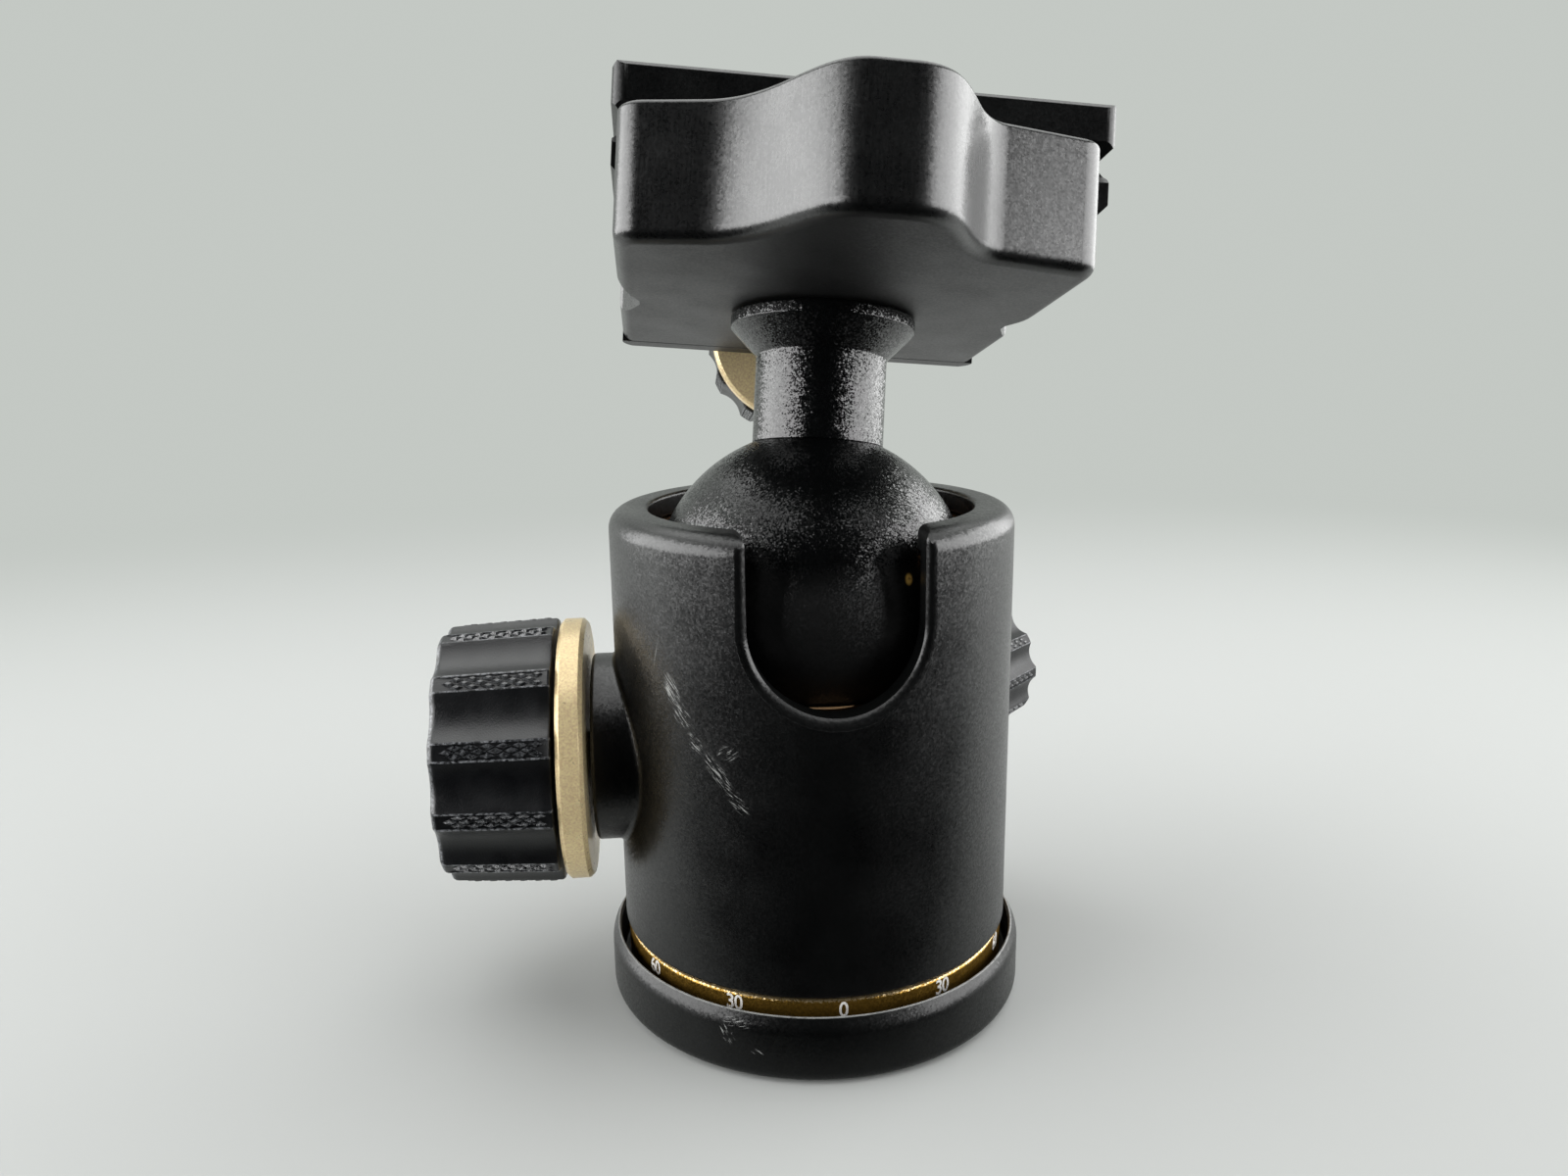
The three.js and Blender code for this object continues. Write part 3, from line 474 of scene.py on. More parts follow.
def goldAnodised(name, place, color, roughness=0.3, sparkle=0.6, metallic=0.35, paintedHighlight=None):
    material, tree, shader = newMaterial(name, color, roughness, metallic)
    local = coordinates(tree, place)
    grain = noise(tree, local, 4.0, 1, 0.5)
    tone = mixed(tree, ranged(tree, grain, 0.3, 0.7), shaded(color, gold["dark"]),
                 tuple(min(1, c) for c in shaded(color, gold["light"])))
    # a painted highlight, where given, lightens the colour in its share
    if paintedHighlight is not None:
        share, bright = paintedHighlight(tree, local)
        tone = mixed(tree, share, tone, bright)
    painted(tree, shader, tone,
            ranged(tree, noise(tree, local, 0.5, 3), 0.3, 0.7, roughness - 0.04, roughness + 0.06))
    facets = grained(tree, local, gold["grainSize"], gold["lean"] * sparkle)
    bumped(tree, shader, grain, 0.6, 0.00003 * sparkle, facets)
    return material


def gripRubber(name, place, ior=1.66, roughness=0.36, wearAndHighlight=0.0, ridges=False):
    # hard black rubber with a blue tint, finely matted, with dust in its low places
    material, tree, shader = newMaterial(name, rubber["color"], roughness, 0.0, ior)
    local = coordinates(tree, place)
    fine = noise(tree, local, 5.5, 2, 0.65)
    patch = noise(tree, local, 0.35, 3)
    dust = ranged(tree, noise(tree, local, 2.2, 4, 0.7), 0.62, 0.8, 0, 0.35)
    color = mixed(tree, ranged(tree, patch, 0.35, 0.7), rubber["dark"], rubber["light"])
    color = mixed(tree, dust, color, rubber["dust"])
    # painted highlight and wear: patchy light grey, on the grip only on the marked ridges and outer rim, on
    # the knurls all over
    if wearAndHighlight > 0:
        paintedHighlight = ranged(tree, noise(tree, local, 2.6, 3, 0.65), 0.42, 0.62, 0, wearAndHighlight)
        if ridges:
            edge = shaderNode(tree, "ShaderNodeAttribute", attribute_name="ridgeSheenAndWear").outputs["Fac"]
            paintedHighlight = maths(tree, "MULTIPLY", paintedHighlight, edge)
        color = mixed(tree, paintedHighlight, color, rubber["worn"])
    painted(tree, shader, color, ranged(tree, patch, 0.3, 0.75, roughness - 0.04, roughness + 0.08))
    bumped(tree, shader, fine, 0.32, 0.0001)
    return material


def turnedMetal(name, color, roughness=0.28, place=toMetres, paintedHighlight=None):
    # bare metal off a lathe: fine rings across the axis and faint tarnish
    material, tree, shader = newMaterial(name, color, roughness, 1.0)
    local = coordinates(tree, place)
    rings = noise(tree, stretched(tree, local, metal["rings"]), 1.0, 2, 0.6)
    tarnish = noise(tree, local, 0.35, 4, 0.6)
    tone = mixed(tree, ranged(tree, tarnish, 0.4, 0.75), color, shaded(color, metal["tarnish"]))
    # a painted highlight, where given, lightens the colour and takes away the metal's shine there
    if paintedHighlight is not None:
        share, bright = paintedHighlight(tree, local)
        tone = mixed(tree, share, tone, bright)
        tree.links.new(maths(tree, "SUBTRACT", 1.0, share), shader.inputs["Metallic"])
    painted(tree, shader, tone, ranged(tree, tarnish, 0.3, 0.75, roughness, roughness + 0.14))
    bumped(tree, shader, rings, 0.25, 0.00005)
    return material


def paintedMarks(name, color):
    # white ink, a little worn
    material, tree, shader = newMaterial(name, color, paint["roughness"])
    local = coordinates(tree, toMetres)
    worn = ranged(tree, noise(tree, local, 3.2, 3, 0.6), 0.55, 0.72, 0, 0.55)
    painted(tree, shader, mixed(tree, worn, color, paint["worn"]))
    bumped(tree, shader, noise(tree, local, 6, 2), 0.2, 0.00004)
    return material


def mattePlastic(name, color):
    material, tree, shader = newMaterial(name, color, 0.5)
    local = coordinates(tree, toMetres)
    cloud = ranged(tree, noise(tree, local, 0.6, 3), 0.4, 0.7)
    painted(tree, shader, mixed(tree, cloud, color, shaded(color, 0.85)))
    bumped(tree, shader, noise(tree, local, 5, 2), 0.2, 0.00005)
    return material


def nearness(tree, vector, centre, size, turn=0.0):
    # 1 at a centre and 0 past a size, with soft sides
    mapping = shaderNode(tree, "ShaderNodeMapping", {"Vector": vector})
    mapping.vector_type = "TEXTURE"
    mapping.inputs["Location"].default_value = centre
    mapping.inputs["Rotation"].default_value = (0, 0, turn)
    mapping.inputs["Scale"].default_value = size
    return ranged(tree, vectorMaths(tree, "LENGTH", mapping.outputs["Vector"]), 0.55, 1.0, 1.0, 0.0)


def unrolled(tree, local, radius):
    # distance round a cylinder from its front, and height
    parts = shaderNode(tree, "ShaderNodeSeparateXYZ", {"Vector": local})
    back = maths(tree, "MULTIPLY", parts.outputs["Y"], -1.0)
    angle = maths(tree, "ARCTAN2", parts.outputs["X"], back)
    return vectorOf(tree, maths(tree, "MULTIPLY", angle, radius), parts.outputs["Z"])


def strokes(tree, sheet, patch):
    # a patch of fine scratches on an unrolled surface, where slant turns the patch and stroke the scratches
    turn = math.radians(patch["slant"])
    mask = nearness(tree, sheet, (*patch["centre"], 0), (*patch["size"], 1), turn)
    lines = shaderNode(tree, "ShaderNodeMapping", {"Vector": sheet})
    lines.inputs["Rotation"].default_value = (0, 0, -math.radians(patch["stroke"]))
    thin = stretched(tree, lines.outputs["Vector"], (patch["length"], patch["fineness"], 1))
    threads = noise(tree, thin, 1.0, 3, 0.62)
    return maths(tree, "MULTIPLY", mask, ranged(tree, threads, patch["sparse"], patch["sparse"] + 0.09))


def scuffs(patches, radius):
    def marks(tree, local):
        sheet = unrolled(tree, local, radius)
        total = None
        for patch in patches:
            one = strokes(tree, sheet, patch)
            total = one if total is None else maths(tree, "MAXIMUM", total, one)
        return total
    return marks


# Housing: a turned shell with the drop notch, both bosses and their bores

housing = {
    "radius": 22.6, "bore": 19.6, "foot": 8.8, "top": 57.1, "topRound": 3.7, "opening": 18.2,
    "lip": 2.5, "lipRound": 0.45, "edge": 0.4, "steps": 192,
    "notchHalf": 8.85, "notchCentre": 47.9, "notchCorner": 1.1, "notchRound": 1.6, "notchStart": 35,
    "notchEnd": 84, "notchDepth": -9, "innerGrow": 0.9, "innerWiden": 1.35, "weldSunk": 0.04,
    "bossRadius": 10.65, "bossReach": 25.2, "bossEdge": 0.45, "bossWeld": 0.7,
    "lockBore": 4.3, "panBossRadius": 6.2, "panBossReach": 24.8, "panBore": 3.3,
    "scuffs": [
        {"centre": (-18.2, 40.8), "size": (1.1, 1.9), "slant": 25, "stroke": 132, "length": 0.6,
         "fineness": 6.0, "sparse": 0.5},
        {"centre": (-16.9, 38.3), "size": (1.1, 1.7), "slant": 30, "stroke": 136, "length": 0.7,
         "fineness": 6.0, "sparse": 0.54},
        {"centre": (-15.3, 35.6), "size": (0.9, 1.4), "slant": 30, "stroke": 142, "length": 0.7,
         "fineness": 6.0, "sparse": 0.54},
        {"centre": (-12.7, 33.0), "size": (0.9, 2.7), "slant": 38, "stroke": 134, "length": 0.6,
         "fineness": 6.0, "sparse": 0.53},
        {"centre": (-10.6, 30.3), "size": (0.8, 2.3), "slant": 36, "stroke": 146, "length": 0.6,
         "fineness": 6.0, "sparse": 0.54},
        {"centre": (-11.4, 35.1), "size": (1.4, 0.9), "slant": 0, "stroke": 32, "length": 0.7,
         "fineness": 6.0, "sparse": 0.55},
        {"centre": (-21.6, 44.6), "size": (2.2, 3.2), "slant": 0, "stroke": 74, "length": 0.2,
         "fineness": 3.6, "sparse": 0.64},
    ],
}


def notchRing(grow, place):
    # the notch's outline in front view, grown by a little, with each point put on a surface by place
    half, corner = housing["notchHalf"], housing["notchCorner"]
    top, centre = housing["top"], housing["notchCentre"]
    wide = half + corner
    left = [(-wide, top + 6), (-wide, top - min(grow, corner - 0.1))]
    left += arcLine(-wide, top - corner, max(corner - grow, 0.1), 90, 0, 8)[1:]
    bottom = arcLine(0, centre, half + grow, 180, 360, 40)
    right = [(-x, z) for x, z in reversed(left)]
    return [place(x, z) for x, z in left + bottom + right]


def notchTool():
    radius, roundness = housing["radius"], housing["notchRound"]
    first, last = math.radians(housing["notchStart"]), math.radians(housing["notchEnd"])
    rings = [notchRing(0, lambda x, z: (x, housing["notchDepth"], z))]
    for step in range(9):
        angle = first + (last - first) * step / 8
        level = radius - roundness + roundness * math.sin(angle)
        grow = roundness * (math.cos(first) - math.cos(angle))
        rings.append(notchRing(grow, lambda x, z, r=level: (x, -math.sqrt(r * r - x * x), z)))
    widest = roundness * math.cos(first)
    beyond = radius + 0.15
    rings.append(notchRing(widest, lambda x, z: (x, -math.sqrt(beyond ** 2 - x * x), z)))
    rings.append(notchRing(widest, lambda x, z: (x, -radius - 8, z)))
    return lofted("notch_tool", rings)


def innerNotchTool():
    # the ring stops well short of the notch on both sides
    grow, widen = housing["innerGrow"], housing["innerWiden"]
    return lofted("inner_notch_tool", [
        notchRing(grow, lambda x, z, y=y: (x * widen, y, z)) for y in (-5, -30)])


def bossTool(name, radius, reach, direction, weld, edge):
    # a boss with a small weld where it meets the round wall
    outer, sunk = housing["radius"], housing["weldSunk"]
    c, s = math.cos(direction), math.sin(direction)
    axis, side = Vector((c, s, 0)), Vector((-s, c, 0))

    def at(out, angle, size):
        lift = Vector((0, 0, knobHeight + size * math.sin(angle)))
        return tuple(axis * out + side * size * math.cos(angle) + lift)

    def wall(size, angle):
        return math.sqrt(outer ** 2 - (size * math.cos(angle)) ** 2)

    steps = 96
    angles = [2 * math.pi * k / steps for k in range(steps)]
    rings = [[at(outer * 0.75, angle, radius + weld) for angle in angles],
             [at(wall(radius + weld, angle) - sunk, angle, radius + weld) for angle in angles]]
    for step in range(1, 7):
        t = step / 6
        ring = []
        for angle in angles:
            low = wall(radius + weld, angle) - sunk
            corner = wall(radius, angle)
            out = (1 - t) ** 2 * low + 2 * t * (1 - t) * corner + t * t * (corner + weld)
            size = (1 - t) ** 2 * (radius + weld) + 2 * t * (1 - t) * radius + t * t * radius
            ring.append(at(out, angle, size))
        rings.append(ring)
    for step in range(5):
        turn = math.pi / 2 * step / 4
        out = reach - edge * (1 - math.sin(turn))
        rings.append([at(out, angle, radius - edge * (1 - math.cos(turn))) for angle in angles])
    return lofted(name, rings)


def makeHousing():
    size = housing
    line = filleted([
        (size["radius"], size["foot"], size["edge"]), (size["radius"], size["top"], size["topRound"]),
        (size["opening"], size["top"], size["lipRound"]), (size["opening"], size["top"] - size["lip"], 0.2),
        (size["bore"], size["top"] - size["lip"], 0), (size["bore"], size["foot"], 0.3)], steps=8)
    shell = turned("housing_body", refined(line, 1.6), size["steps"])
    panDirection = math.atan2(axisOf("pan_knob_turn").y, axisOf("pan_knob_turn").x)
    for name, radius, reach, direction in (
            ("lock_boss", size["bossRadius"], size["bossReach"], math.pi),
            ("pan_boss", size["panBossRadius"], size["panBossReach"], panDirection)):
        combined(shell, bossTool(name, radius, reach, direction, size["bossWeld"], size["bossEdge"]), "UNION")
    combined(shell, turned("bore_tool", [
        (0, size["foot"] - 3), (size["bore"], size["foot"] - 3), (size["bore"], size["top"] - size["lip"]),
        (size["opening"], size["top"] - size["lip"]), (size["opening"] - 1, size["top"] + 3),
        (0, size["top"] + 3)], size["steps"]))
    combined(shell, notchTool())
    for radius, place in ((size["lockBore"], lockPlace), (size["panBore"], panPlace)):
        bore = roundBar("bore", radius, 12, 32)
        combined(shell, turnedTool(bore, toMetres.inverted() @ place))
    material = satinBlack("housingBlack", ior=1.68, marks=scuffs(size["scuffs"], size["radius"]))
    finished(shell, uprightPlace, material, "housing", ["housing_shell"])


makeHousing()
print("housing made")


# Seats inside the housing: a bronze-coloured ring above the ball's middle and a cup under it

seats = {
    "ballRoom": 18.3, "sleeve": 19.3, "upperTop": 54.45, "upperHeight": 4.4, "upperLand": 1.6,
    "lowerTop": 38.3, "skirt": 3.7, "foot": 13.8, "lowerBottom": 24.4, "hole": 5.0,
    "slotHalf": 4.8, "slotPast": 4, "slotEnd": 0.3, "slotStep": 2.3, "slotRamp": 10, "slotTop": 6.3,
    "slotWall": 3.3, "slotRoof": 0.8,
    "color": (0.42, 0.235, 0.12), "shadedColor": (0.1, 0.055, 0.03),
    "highlightPlace": (0, -15.7, 38.3), "highlightSize": (2.6, 1.15, 1.0), "highlightColor": (1.0, 0.62, 0.32),
}


def sphereRadius(height):
    return math.sqrt(seats["ballRoom"] ** 2 - (height - ballHeight) ** 2)


def seatLand(tree, local):
    # painted highlight: a bright crescent on the land beside the ball at the front, where it shows in the
    # notch
    near = nearness(tree, local, seats["highlightPlace"], seats["highlightSize"])
    return ranged(tree, near, 0.02, 0.14), seats["highlightColor"]


def makeUpperSeat():
    size = seats
    top, bottom = size["upperTop"], size["upperTop"] - size["upperHeight"]
    middle = (top + bottom) / 2
    heights = [bottom + (middle - bottom) * k / 6 for k in range(7)]
    inner = [(sphereRadius(height), height) for height in heights]
    line = [(size["sleeve"], bottom), (size["sleeve"], top), (size["sleeve"] - size["upperLand"], top)]
    upper = turned("upper_seat_ring", line + inner[::-1], 160)
    combined(upper, innerNotchTool())
    bronze = turnedMetal("seatBronze", size["color"], 0.38)
    finished(upper, uprightPlace, bronze, "housing", ["upper_ball_seat"])


def sliderSlot():
    # the slot that the lock slider runs in follows the slider's own box
    size = seats
    low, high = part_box("lock_slider")
    left, right, under, over = low.x * 1000, high.x * 1000, low.z * 1000, high.z * 1000
    outside, inside, wall = left - size["slotPast"], right + size["slotEnd"], left + size["slotWall"]
    outline = [(outside, under - size["slotPast"]), (inside, under - size["slotPast"]),
               (inside, under + size["slotStep"]), (right - size["slotRamp"], under + size["slotTop"]),
               (wall, under + size["slotTop"]), (wall, over + size["slotRoof"]),
               (outside, over + size["slotRoof"])]
    return alongY("slot_tool", outline, -size["slotHalf"], size["slotHalf"])


def makeLowerSeat():
    size = seats
    top, skirt = size["lowerTop"], size["lowerTop"] - size["skirt"]
    rim = sphereRadius(top)
    bowl = []
    for k in range(25):
        radius = rim + (size["hole"] - rim) * k / 24
        bowl.append((radius, ballHeight - math.sqrt(size["ballRoom"] ** 2 - radius ** 2)))
    foot, sleeve, bottom = size["foot"], size["sleeve"], size["lowerBottom"]
    line = [(size["hole"], bottom), (foot, bottom), (foot, skirt - (sleeve - foot)), (sleeve, skirt),
            (sleeve, top)] + bowl
    lower = turned("lower_seat_cup", line, 144)
    combined(lower, sliderSlot())
    # painted shade: the cup takes a darker copy of the seat bronze, for the shade under the ball, and a
    # painted highlight on its front land
    shadedBronze = turnedMetal("shadedBronze", size["shadedColor"], 0.42, paintedHighlight=seatLand)
    finished(lower, uprightPlace, shadedBronze, "seat", ["lower_ball_seat"])


makeUpperSeat()
makeLowerSeat()
print("seats made")


# Base: cup with a thin lip, dial ring and its numbers

base = {
    "radius": 24.3, "foot": 1.4, "shoulder": 6.15, "shoulderRound": 3.0, "lipRadius": 23.6, "height": 7.4,
    "lipEdge": 0.3, "step": 23.42, "stepHeight": 6.95, "inner": 23.3, "floor": 3.0,
    "socket": 5.0, "socketEdge": 0.4,
    "screwCount": 3, "screwCircle": 9.6, "pocketRadius": 3.3, "pocketDepth": 2.05, "pocketEdge": 0.3,
    "holeRadius": 2.2,
    "scuffs": [
        {"centre": (-11.3, 6.3), "size": (1.8, 0.7), "slant": 0, "stroke": 14, "length": 0.8,
         "fineness": 8.0, "sparse": 0.55},
        {"centre": (-12.4, 4.8), "size": (0.9, 1.3), "slant": 30, "stroke": 125, "length": 0.9,
         "fineness": 7.0, "sparse": 0.56},
        {"centre": (-9.2, 3.3), "size": (1.0, 0.5), "slant": 0, "stroke": 150, "length": 0.5,
         "fineness": 4.0, "sparse": 0.56},
    ],
}


def makeCup():
    size = base
    line = filleted([
        (size["socket"], 0, size["socketEdge"]), (size["radius"], 0, size["foot"]),
        (size["radius"], size["shoulder"], size["shoulderRound"]),
        (size["lipRadius"], size["height"], size["lipEdge"]), (size["step"], size["height"], 0.05),
        (size["step"], size["stepHeight"], 0), (size["inner"], size["stepHeight"] - 0.05, 0.05),
        (size["inner"], size["floor"], 0.5), (size["socket"], size["floor"], 0)], steps=7)
    cup = turned("base_dish", refined(line, 2.0), 192)
    for k in range(size["screwCount"]):
        angle = 2 * math.pi * k / size["screwCount"] + math.pi / 6
        x, y = size["screwCircle"] * math.cos(angle), size["screwCircle"] * math.sin(angle)
        pocket, hole, depth, edge = (
            size["pocketRadius"], size["holeRadius"], size["pocketDepth"], size["pocketEdge"])
        tool = turned("hole_tool", [
            (0, -2), (pocket + edge, -2), (pocket + edge, 0), (pocket, edge), (pocket, depth),
            (hole, depth), (hole, 6), (0, 6)], 48)
        combined(cup, turnedTool(tool, Matrix.Translation((x, y, 0))))
    scratched = scuffs(size["scuffs"], size["radius"])

    def marks(tree, local):
        # painted highlight: the lip's inner edge is made lighter, unevenly along its length
        lipHighlight = ranged(tree, partOf(tree, local, "Z"), size["height"] - 0.1, size["height"] - 0.03)
        worn = ranged(tree, noise(tree, local, 1.2, 3), 0.25, 0.5, 0.4, 1)
        return maths(tree, "MAXIMUM", scratched(tree, local), maths(tree, "MULTIPLY", lipHighlight, worn))

    material = satinBlack("cupBlack", marks=marks, ior=1.55)
    finished(cup, uprightPlace, material, "base", ["base_cup"])


# painted shade: the ring's colour is a darker, browner copy of the knob rings' gold, for the shade under the
# housing; worn is the colour of the painted highlight on its top edge
dial = {
    "radius": 22.3, "width": 2.8, "bottom": 3.0, "top": 8.5, "edge": 0.4, "color": (0.37, 0.21, 0.036),
    "worn": (0.95, 0.74, 0.42), "numberHeight": 1.68, "numberFoot": 6.6, "numberThickness": 0.03,
    "stroke": 0.03, "numberTurn": 0.75, "numberStep": 30,
    "capShare": 0.7, "spacing": 0.92, "narrowing": 0.86, "ink": (0.93, 0.91, 0.87),
}


def wornEdge(tree, local):
    # painted highlight: the top edge of the ring is made bright, unevenly
    top, edge = dial["top"], dial["edge"]
    uneven = ranged(tree, noise(tree, local, 3.5, 3, 0.6), 0.3, 0.7, -0.16, 0.16)
    height = maths(tree, "ADD", partOf(tree, local, "Z"), uneven)
    return ranged(tree, height, top - edge * 0.55, top - edge * 0.2), dial["worn"]


def makeDial():
    size = dial
    inner, outer, bottom, top = size["radius"] - size["width"], size["radius"], size["bottom"], size["top"]
    line = filleted([(inner, bottom, 0), (outer, bottom, 0), (outer, top, size["edge"]), (inner, top, 0)])
    ring = turned("dial_band", refined(line, 2.0), 192)
    # the ring's darker gold is painted shade, and its top edge gets a painted highlight
    material = goldAnodised("dialGold", uprightPlace, size["color"], 0.3, 1.2, 0.85, wornEdge)
    finished(ring, uprightPlace, material, "base", ["dial_ring"])


def numberMesh(text, degrees):
    size = dial
    curve = bpy.data.curves.new("number", "FONT")
    curve.body = text
    curve.align_x = "CENTER"
    curve.size = size["numberHeight"] / size["capShare"]
    curve.space_character = size["spacing"]
    curve.extrude = size["numberThickness"]
    curve.offset = size["stroke"]
    letter = added("number", curve)
    mesh = evaluatedMesh(letter)
    bpy.data.objects.remove(letter)
    bpy.data.curves.remove(curve)
    for vertex in mesh.vertices:
        x, y, z = vertex.co
        angle = math.radians(degrees + size["numberTurn"]) + x * size["narrowing"] / size["radius"]
        reach = size["radius"] + z
        vertex.co = (reach * math.sin(angle), -reach * math.cos(angle), size["numberFoot"] + y)
    return mesh


def makeNumbers():
    shape = bmesh.new()
    for degrees in range(0, 360, dial["numberStep"]):
        mesh = numberMesh(str(min(degrees, 360 - degrees)), degrees)
        shape.from_mesh(mesh)
        bpy.data.meshes.remove(mesh)
    bmesh.ops.remove_doubles(shape, verts=shape.verts, dist=1e-4)
    mesh = bpy.data.meshes.new("dial_numbers")
    shape.to_mesh(mesh)
    shape.free()
    finished(added("dial_numbers", mesh), uprightPlace, paintedMarks("numberWhite", dial["ink"]), "base")


makeCup()
makeDial()
makeNumbers()
print("base made")


# Geometry Nodes helpers

def newTree(name, labels, whole=()):
    # a geometry tree with a named input for each label; those in whole are whole numbers
    tree = bpy.data.node_groups.new(name, "GeometryNodeTree")
    for label in labels:
        kind = "NodeSocketInt" if label in whole else "NodeSocketFloat"
        tree.interface.new_socket(name=label, in_out="INPUT", socket_type=kind)
    tree.interface.new_socket(name="Geometry", in_out="OUTPUT", socket_type="NodeSocketGeometry")
    return tree, tree.nodes.new("NodeGroupInput").outputs


def cylinder(tree, vertices, radius, depth):
    return shaderNode(tree, "GeometryNodeMeshCylinder", {
        "Vertices": vertices, "Radius": radius, "Depth": depth}).outputs["Mesh"]


def repeated(tree, points, piece, **placing):
    # the last step of every tree: the piece at each point, as real geometry
    copies = shaderNode(tree, "GeometryNodeInstanceOnPoints", {
        "Points": points, "Instance": piece, **placing})
    real = shaderNode(tree, "GeometryNodeRealizeInstances", {"Geometry": copies.outputs["Instances"]})
    tree.links.new(real.outputs["Geometry"], tree.nodes.new("NodeGroupOutput").inputs["Geometry"])
    return tree


def grown(name, tree, values):
    host = added(name, bpy.data.meshes.new(name))
    grow = host.modifiers.new("grow", "NODES")
    grow.node_group = tree
    for socket in tree.interface.items_tree:
        if socket.in_out == "INPUT":
            grow[socket.identifier] = values[socket.name]
    return settle(host)


# Hub screws: button heads with a hexagon socket, seen in the underside

hubScrews = {
    "Count": 3, "Circle": 9.6, "Head Radius": 3.0, "Head Bottom": 0.3, "Head Height": 1.6,
    "Shank Radius": 1.9, "Shank Length": 8.0, "Key Width": 1.7, "Key Depth": 1.0, "Turn": math.pi / 6,
}


def screwTree():
    tree, given = newTree("hubScrewTree", hubScrews, ("Count",))
    number = partial(maths, tree)

    def lifted(geometry, height):
        return shaderNode(tree, "GeometryNodeTransform", {
            "Geometry": geometry, "Translation": vectorOf(tree, z=height)}).outputs["Geometry"]

    head = cylinder(tree, 48, given["Head Radius"], given["Head Height"])
    shank = cylinder(tree, 32, given["Shank Radius"], given["Shank Length"])
    key = cylinder(tree, 6, given["Key Width"], number("MULTIPLY", given["Key Depth"], 2.0))
    middle = number("ADD", given["Head Bottom"], number("MULTIPLY", given["Head Height"], 0.5))
    top = number("ADD", given["Head Bottom"], given["Head Height"])
    shankMiddle = number("ADD", top, number("MULTIPLY", given["Shank Length"], 0.49))
    body = shaderNode(tree, "GeometryNodeMeshBoolean", operation="DIFFERENCE")
    tree.links.new(lifted(head, middle), body.inputs["Mesh 1"])
    tree.links.new(lifted(key, given["Head Bottom"]), body.inputs["Mesh 2"])
    both = shaderNode(tree, "GeometryNodeJoinGeometry")
    tree.links.new(lifted(shank, shankMiddle), both.inputs["Geometry"])
    tree.links.new(body.outputs["Mesh"], both.inputs["Geometry"])
    circle = shaderNode(tree, "GeometryNodeMeshCircle", {
        "Vertices": given["Count"], "Radius": given["Circle"]})
    placed = shaderNode(tree, "GeometryNodeTransform", {
        "Geometry": circle.outputs["Mesh"], "Rotation": vectorOf(tree, z=given["Turn"])})
    return repeated(tree, placed.outputs["Geometry"], both.outputs["Geometry"])


def makeHubScrews(steel):
    screws = grown("underside_screws", screwTree(), hubScrews)
    finished(screws, uprightPlace, steel, "base", ["hub_screw_1", "hub_screw_2", "hub_screw_3"], 30)


# Knobs: gold ring, lobed grip with knurled strips and dished cap, round the core and spindle of the CAD

bigKnob = {
    "prefix": "lock_knob", "lobes": 12, "phase": -10,
    "face": 25.2, "gap": 0.46, "ringRadius": 14.8, "ringWidth": 2.9, "ringEdge": 0.45, "bandGap": 0.45,
    "gripRadius": 14.9, "gripLength": 12.6, "taper": 0.6, "lobeDepth": 0.95, "gripEdge": 0.8,
    "bore": 10.5, "coreRadius": 10.2, "capWidth": 1.4, "capRecess": 0.4, "ringBore": 4.3,
    "knurlColumns": 6, "knurlRows": 3, "knurlLength": 0.84, "knurlWidth": 0.36, "knurlHeight": 0.34,
    "gripSheen": (1.68, 0.35),
}
smallKnob = {
    "prefix": "pan_knob", "lobes": 12, "phase": 0,
    "face": 24.8, "gap": 0.4, "ringRadius": 8.9, "ringWidth": 2.2, "ringEdge": 0.35, "bandGap": 0.35,
    "gripRadius": 9.5, "gripLength": 10.9, "taper": 0.35, "lobeDepth": 0.75, "gripEdge": 0.6,
    "bore": 6.3, "coreRadius": 6.0, "capWidth": 1.2, "capRecess": 0.3, "ringBore": 3.3,
    "knurlColumns": 6, "knurlRows": 2, "knurlLength": 0.66, "knurlWidth": 0.3, "knurlHeight": 0.2,
    "gripSheen": (1.45, 0.48),
}
jawKnob = {
    "prefix": "clamp_knob", "lobes": 12, "phase": 0,
    "face": 24.3, "gap": 0.4, "ringRadius": 11.4, "ringWidth": 2.2, "ringEdge": 0.4, "bandGap": 0.35,
    "gripRadius": 11.7, "gripLength": 10.8, "taper": 0.4, "lobeDepth": 0.85, "gripEdge": 0.65,
    "bore": 8.1, "coreRadius": 7.8, "capWidth": 1.2, "capRecess": 0.3, "ringBore": 2.8,
    "knurlColumns": 6, "knurlRows": 3, "knurlLength": 0.66, "knurlWidth": 0.27, "knurlHeight": 0.22,
    "gripSheen": (1.6, 0.38),
}
lobeShape = {
    "crestShare": 0.142, "ridgeShare": 0.028, "fieldDepth": 0.2, "boreEdge": 0.25, "footEdge": 0.3,
    "fieldStart": 0.35, "footFade": 0.2, "endFade": 0.3, "valleyPower": 2.2,
}
capShape = {
    "edge": 0.35, "rimShare": 0.86, "dishShare": 0.82, "dishDepth": 0.35, "middleShare": 0.3,
    "middleDepth": 0.42,
}
goldColor = (1.0, 0.74, 0.42)


def gripStart(knob):
    return knob["face"] + knob["gap"] + knob["ringWidth"] + knob["bandGap"]


def lobeReach(knob, share):
    # how far in from the crest the grip's surface lies, at a share of the way round a lobe
    away = min(share, 1 - share)
    crest, ridge = lobeShape["crestShare"], lobeShape["ridgeShare"]
    if away < crest - ridge:
        return lobeShape["fieldDepth"]
    if away < crest:
        return 0.0
    along = (away - crest) / (0.5 - crest)
    return knob["lobeDepth"] * (1 - (1 - along) ** lobeShape["valleyPower"])


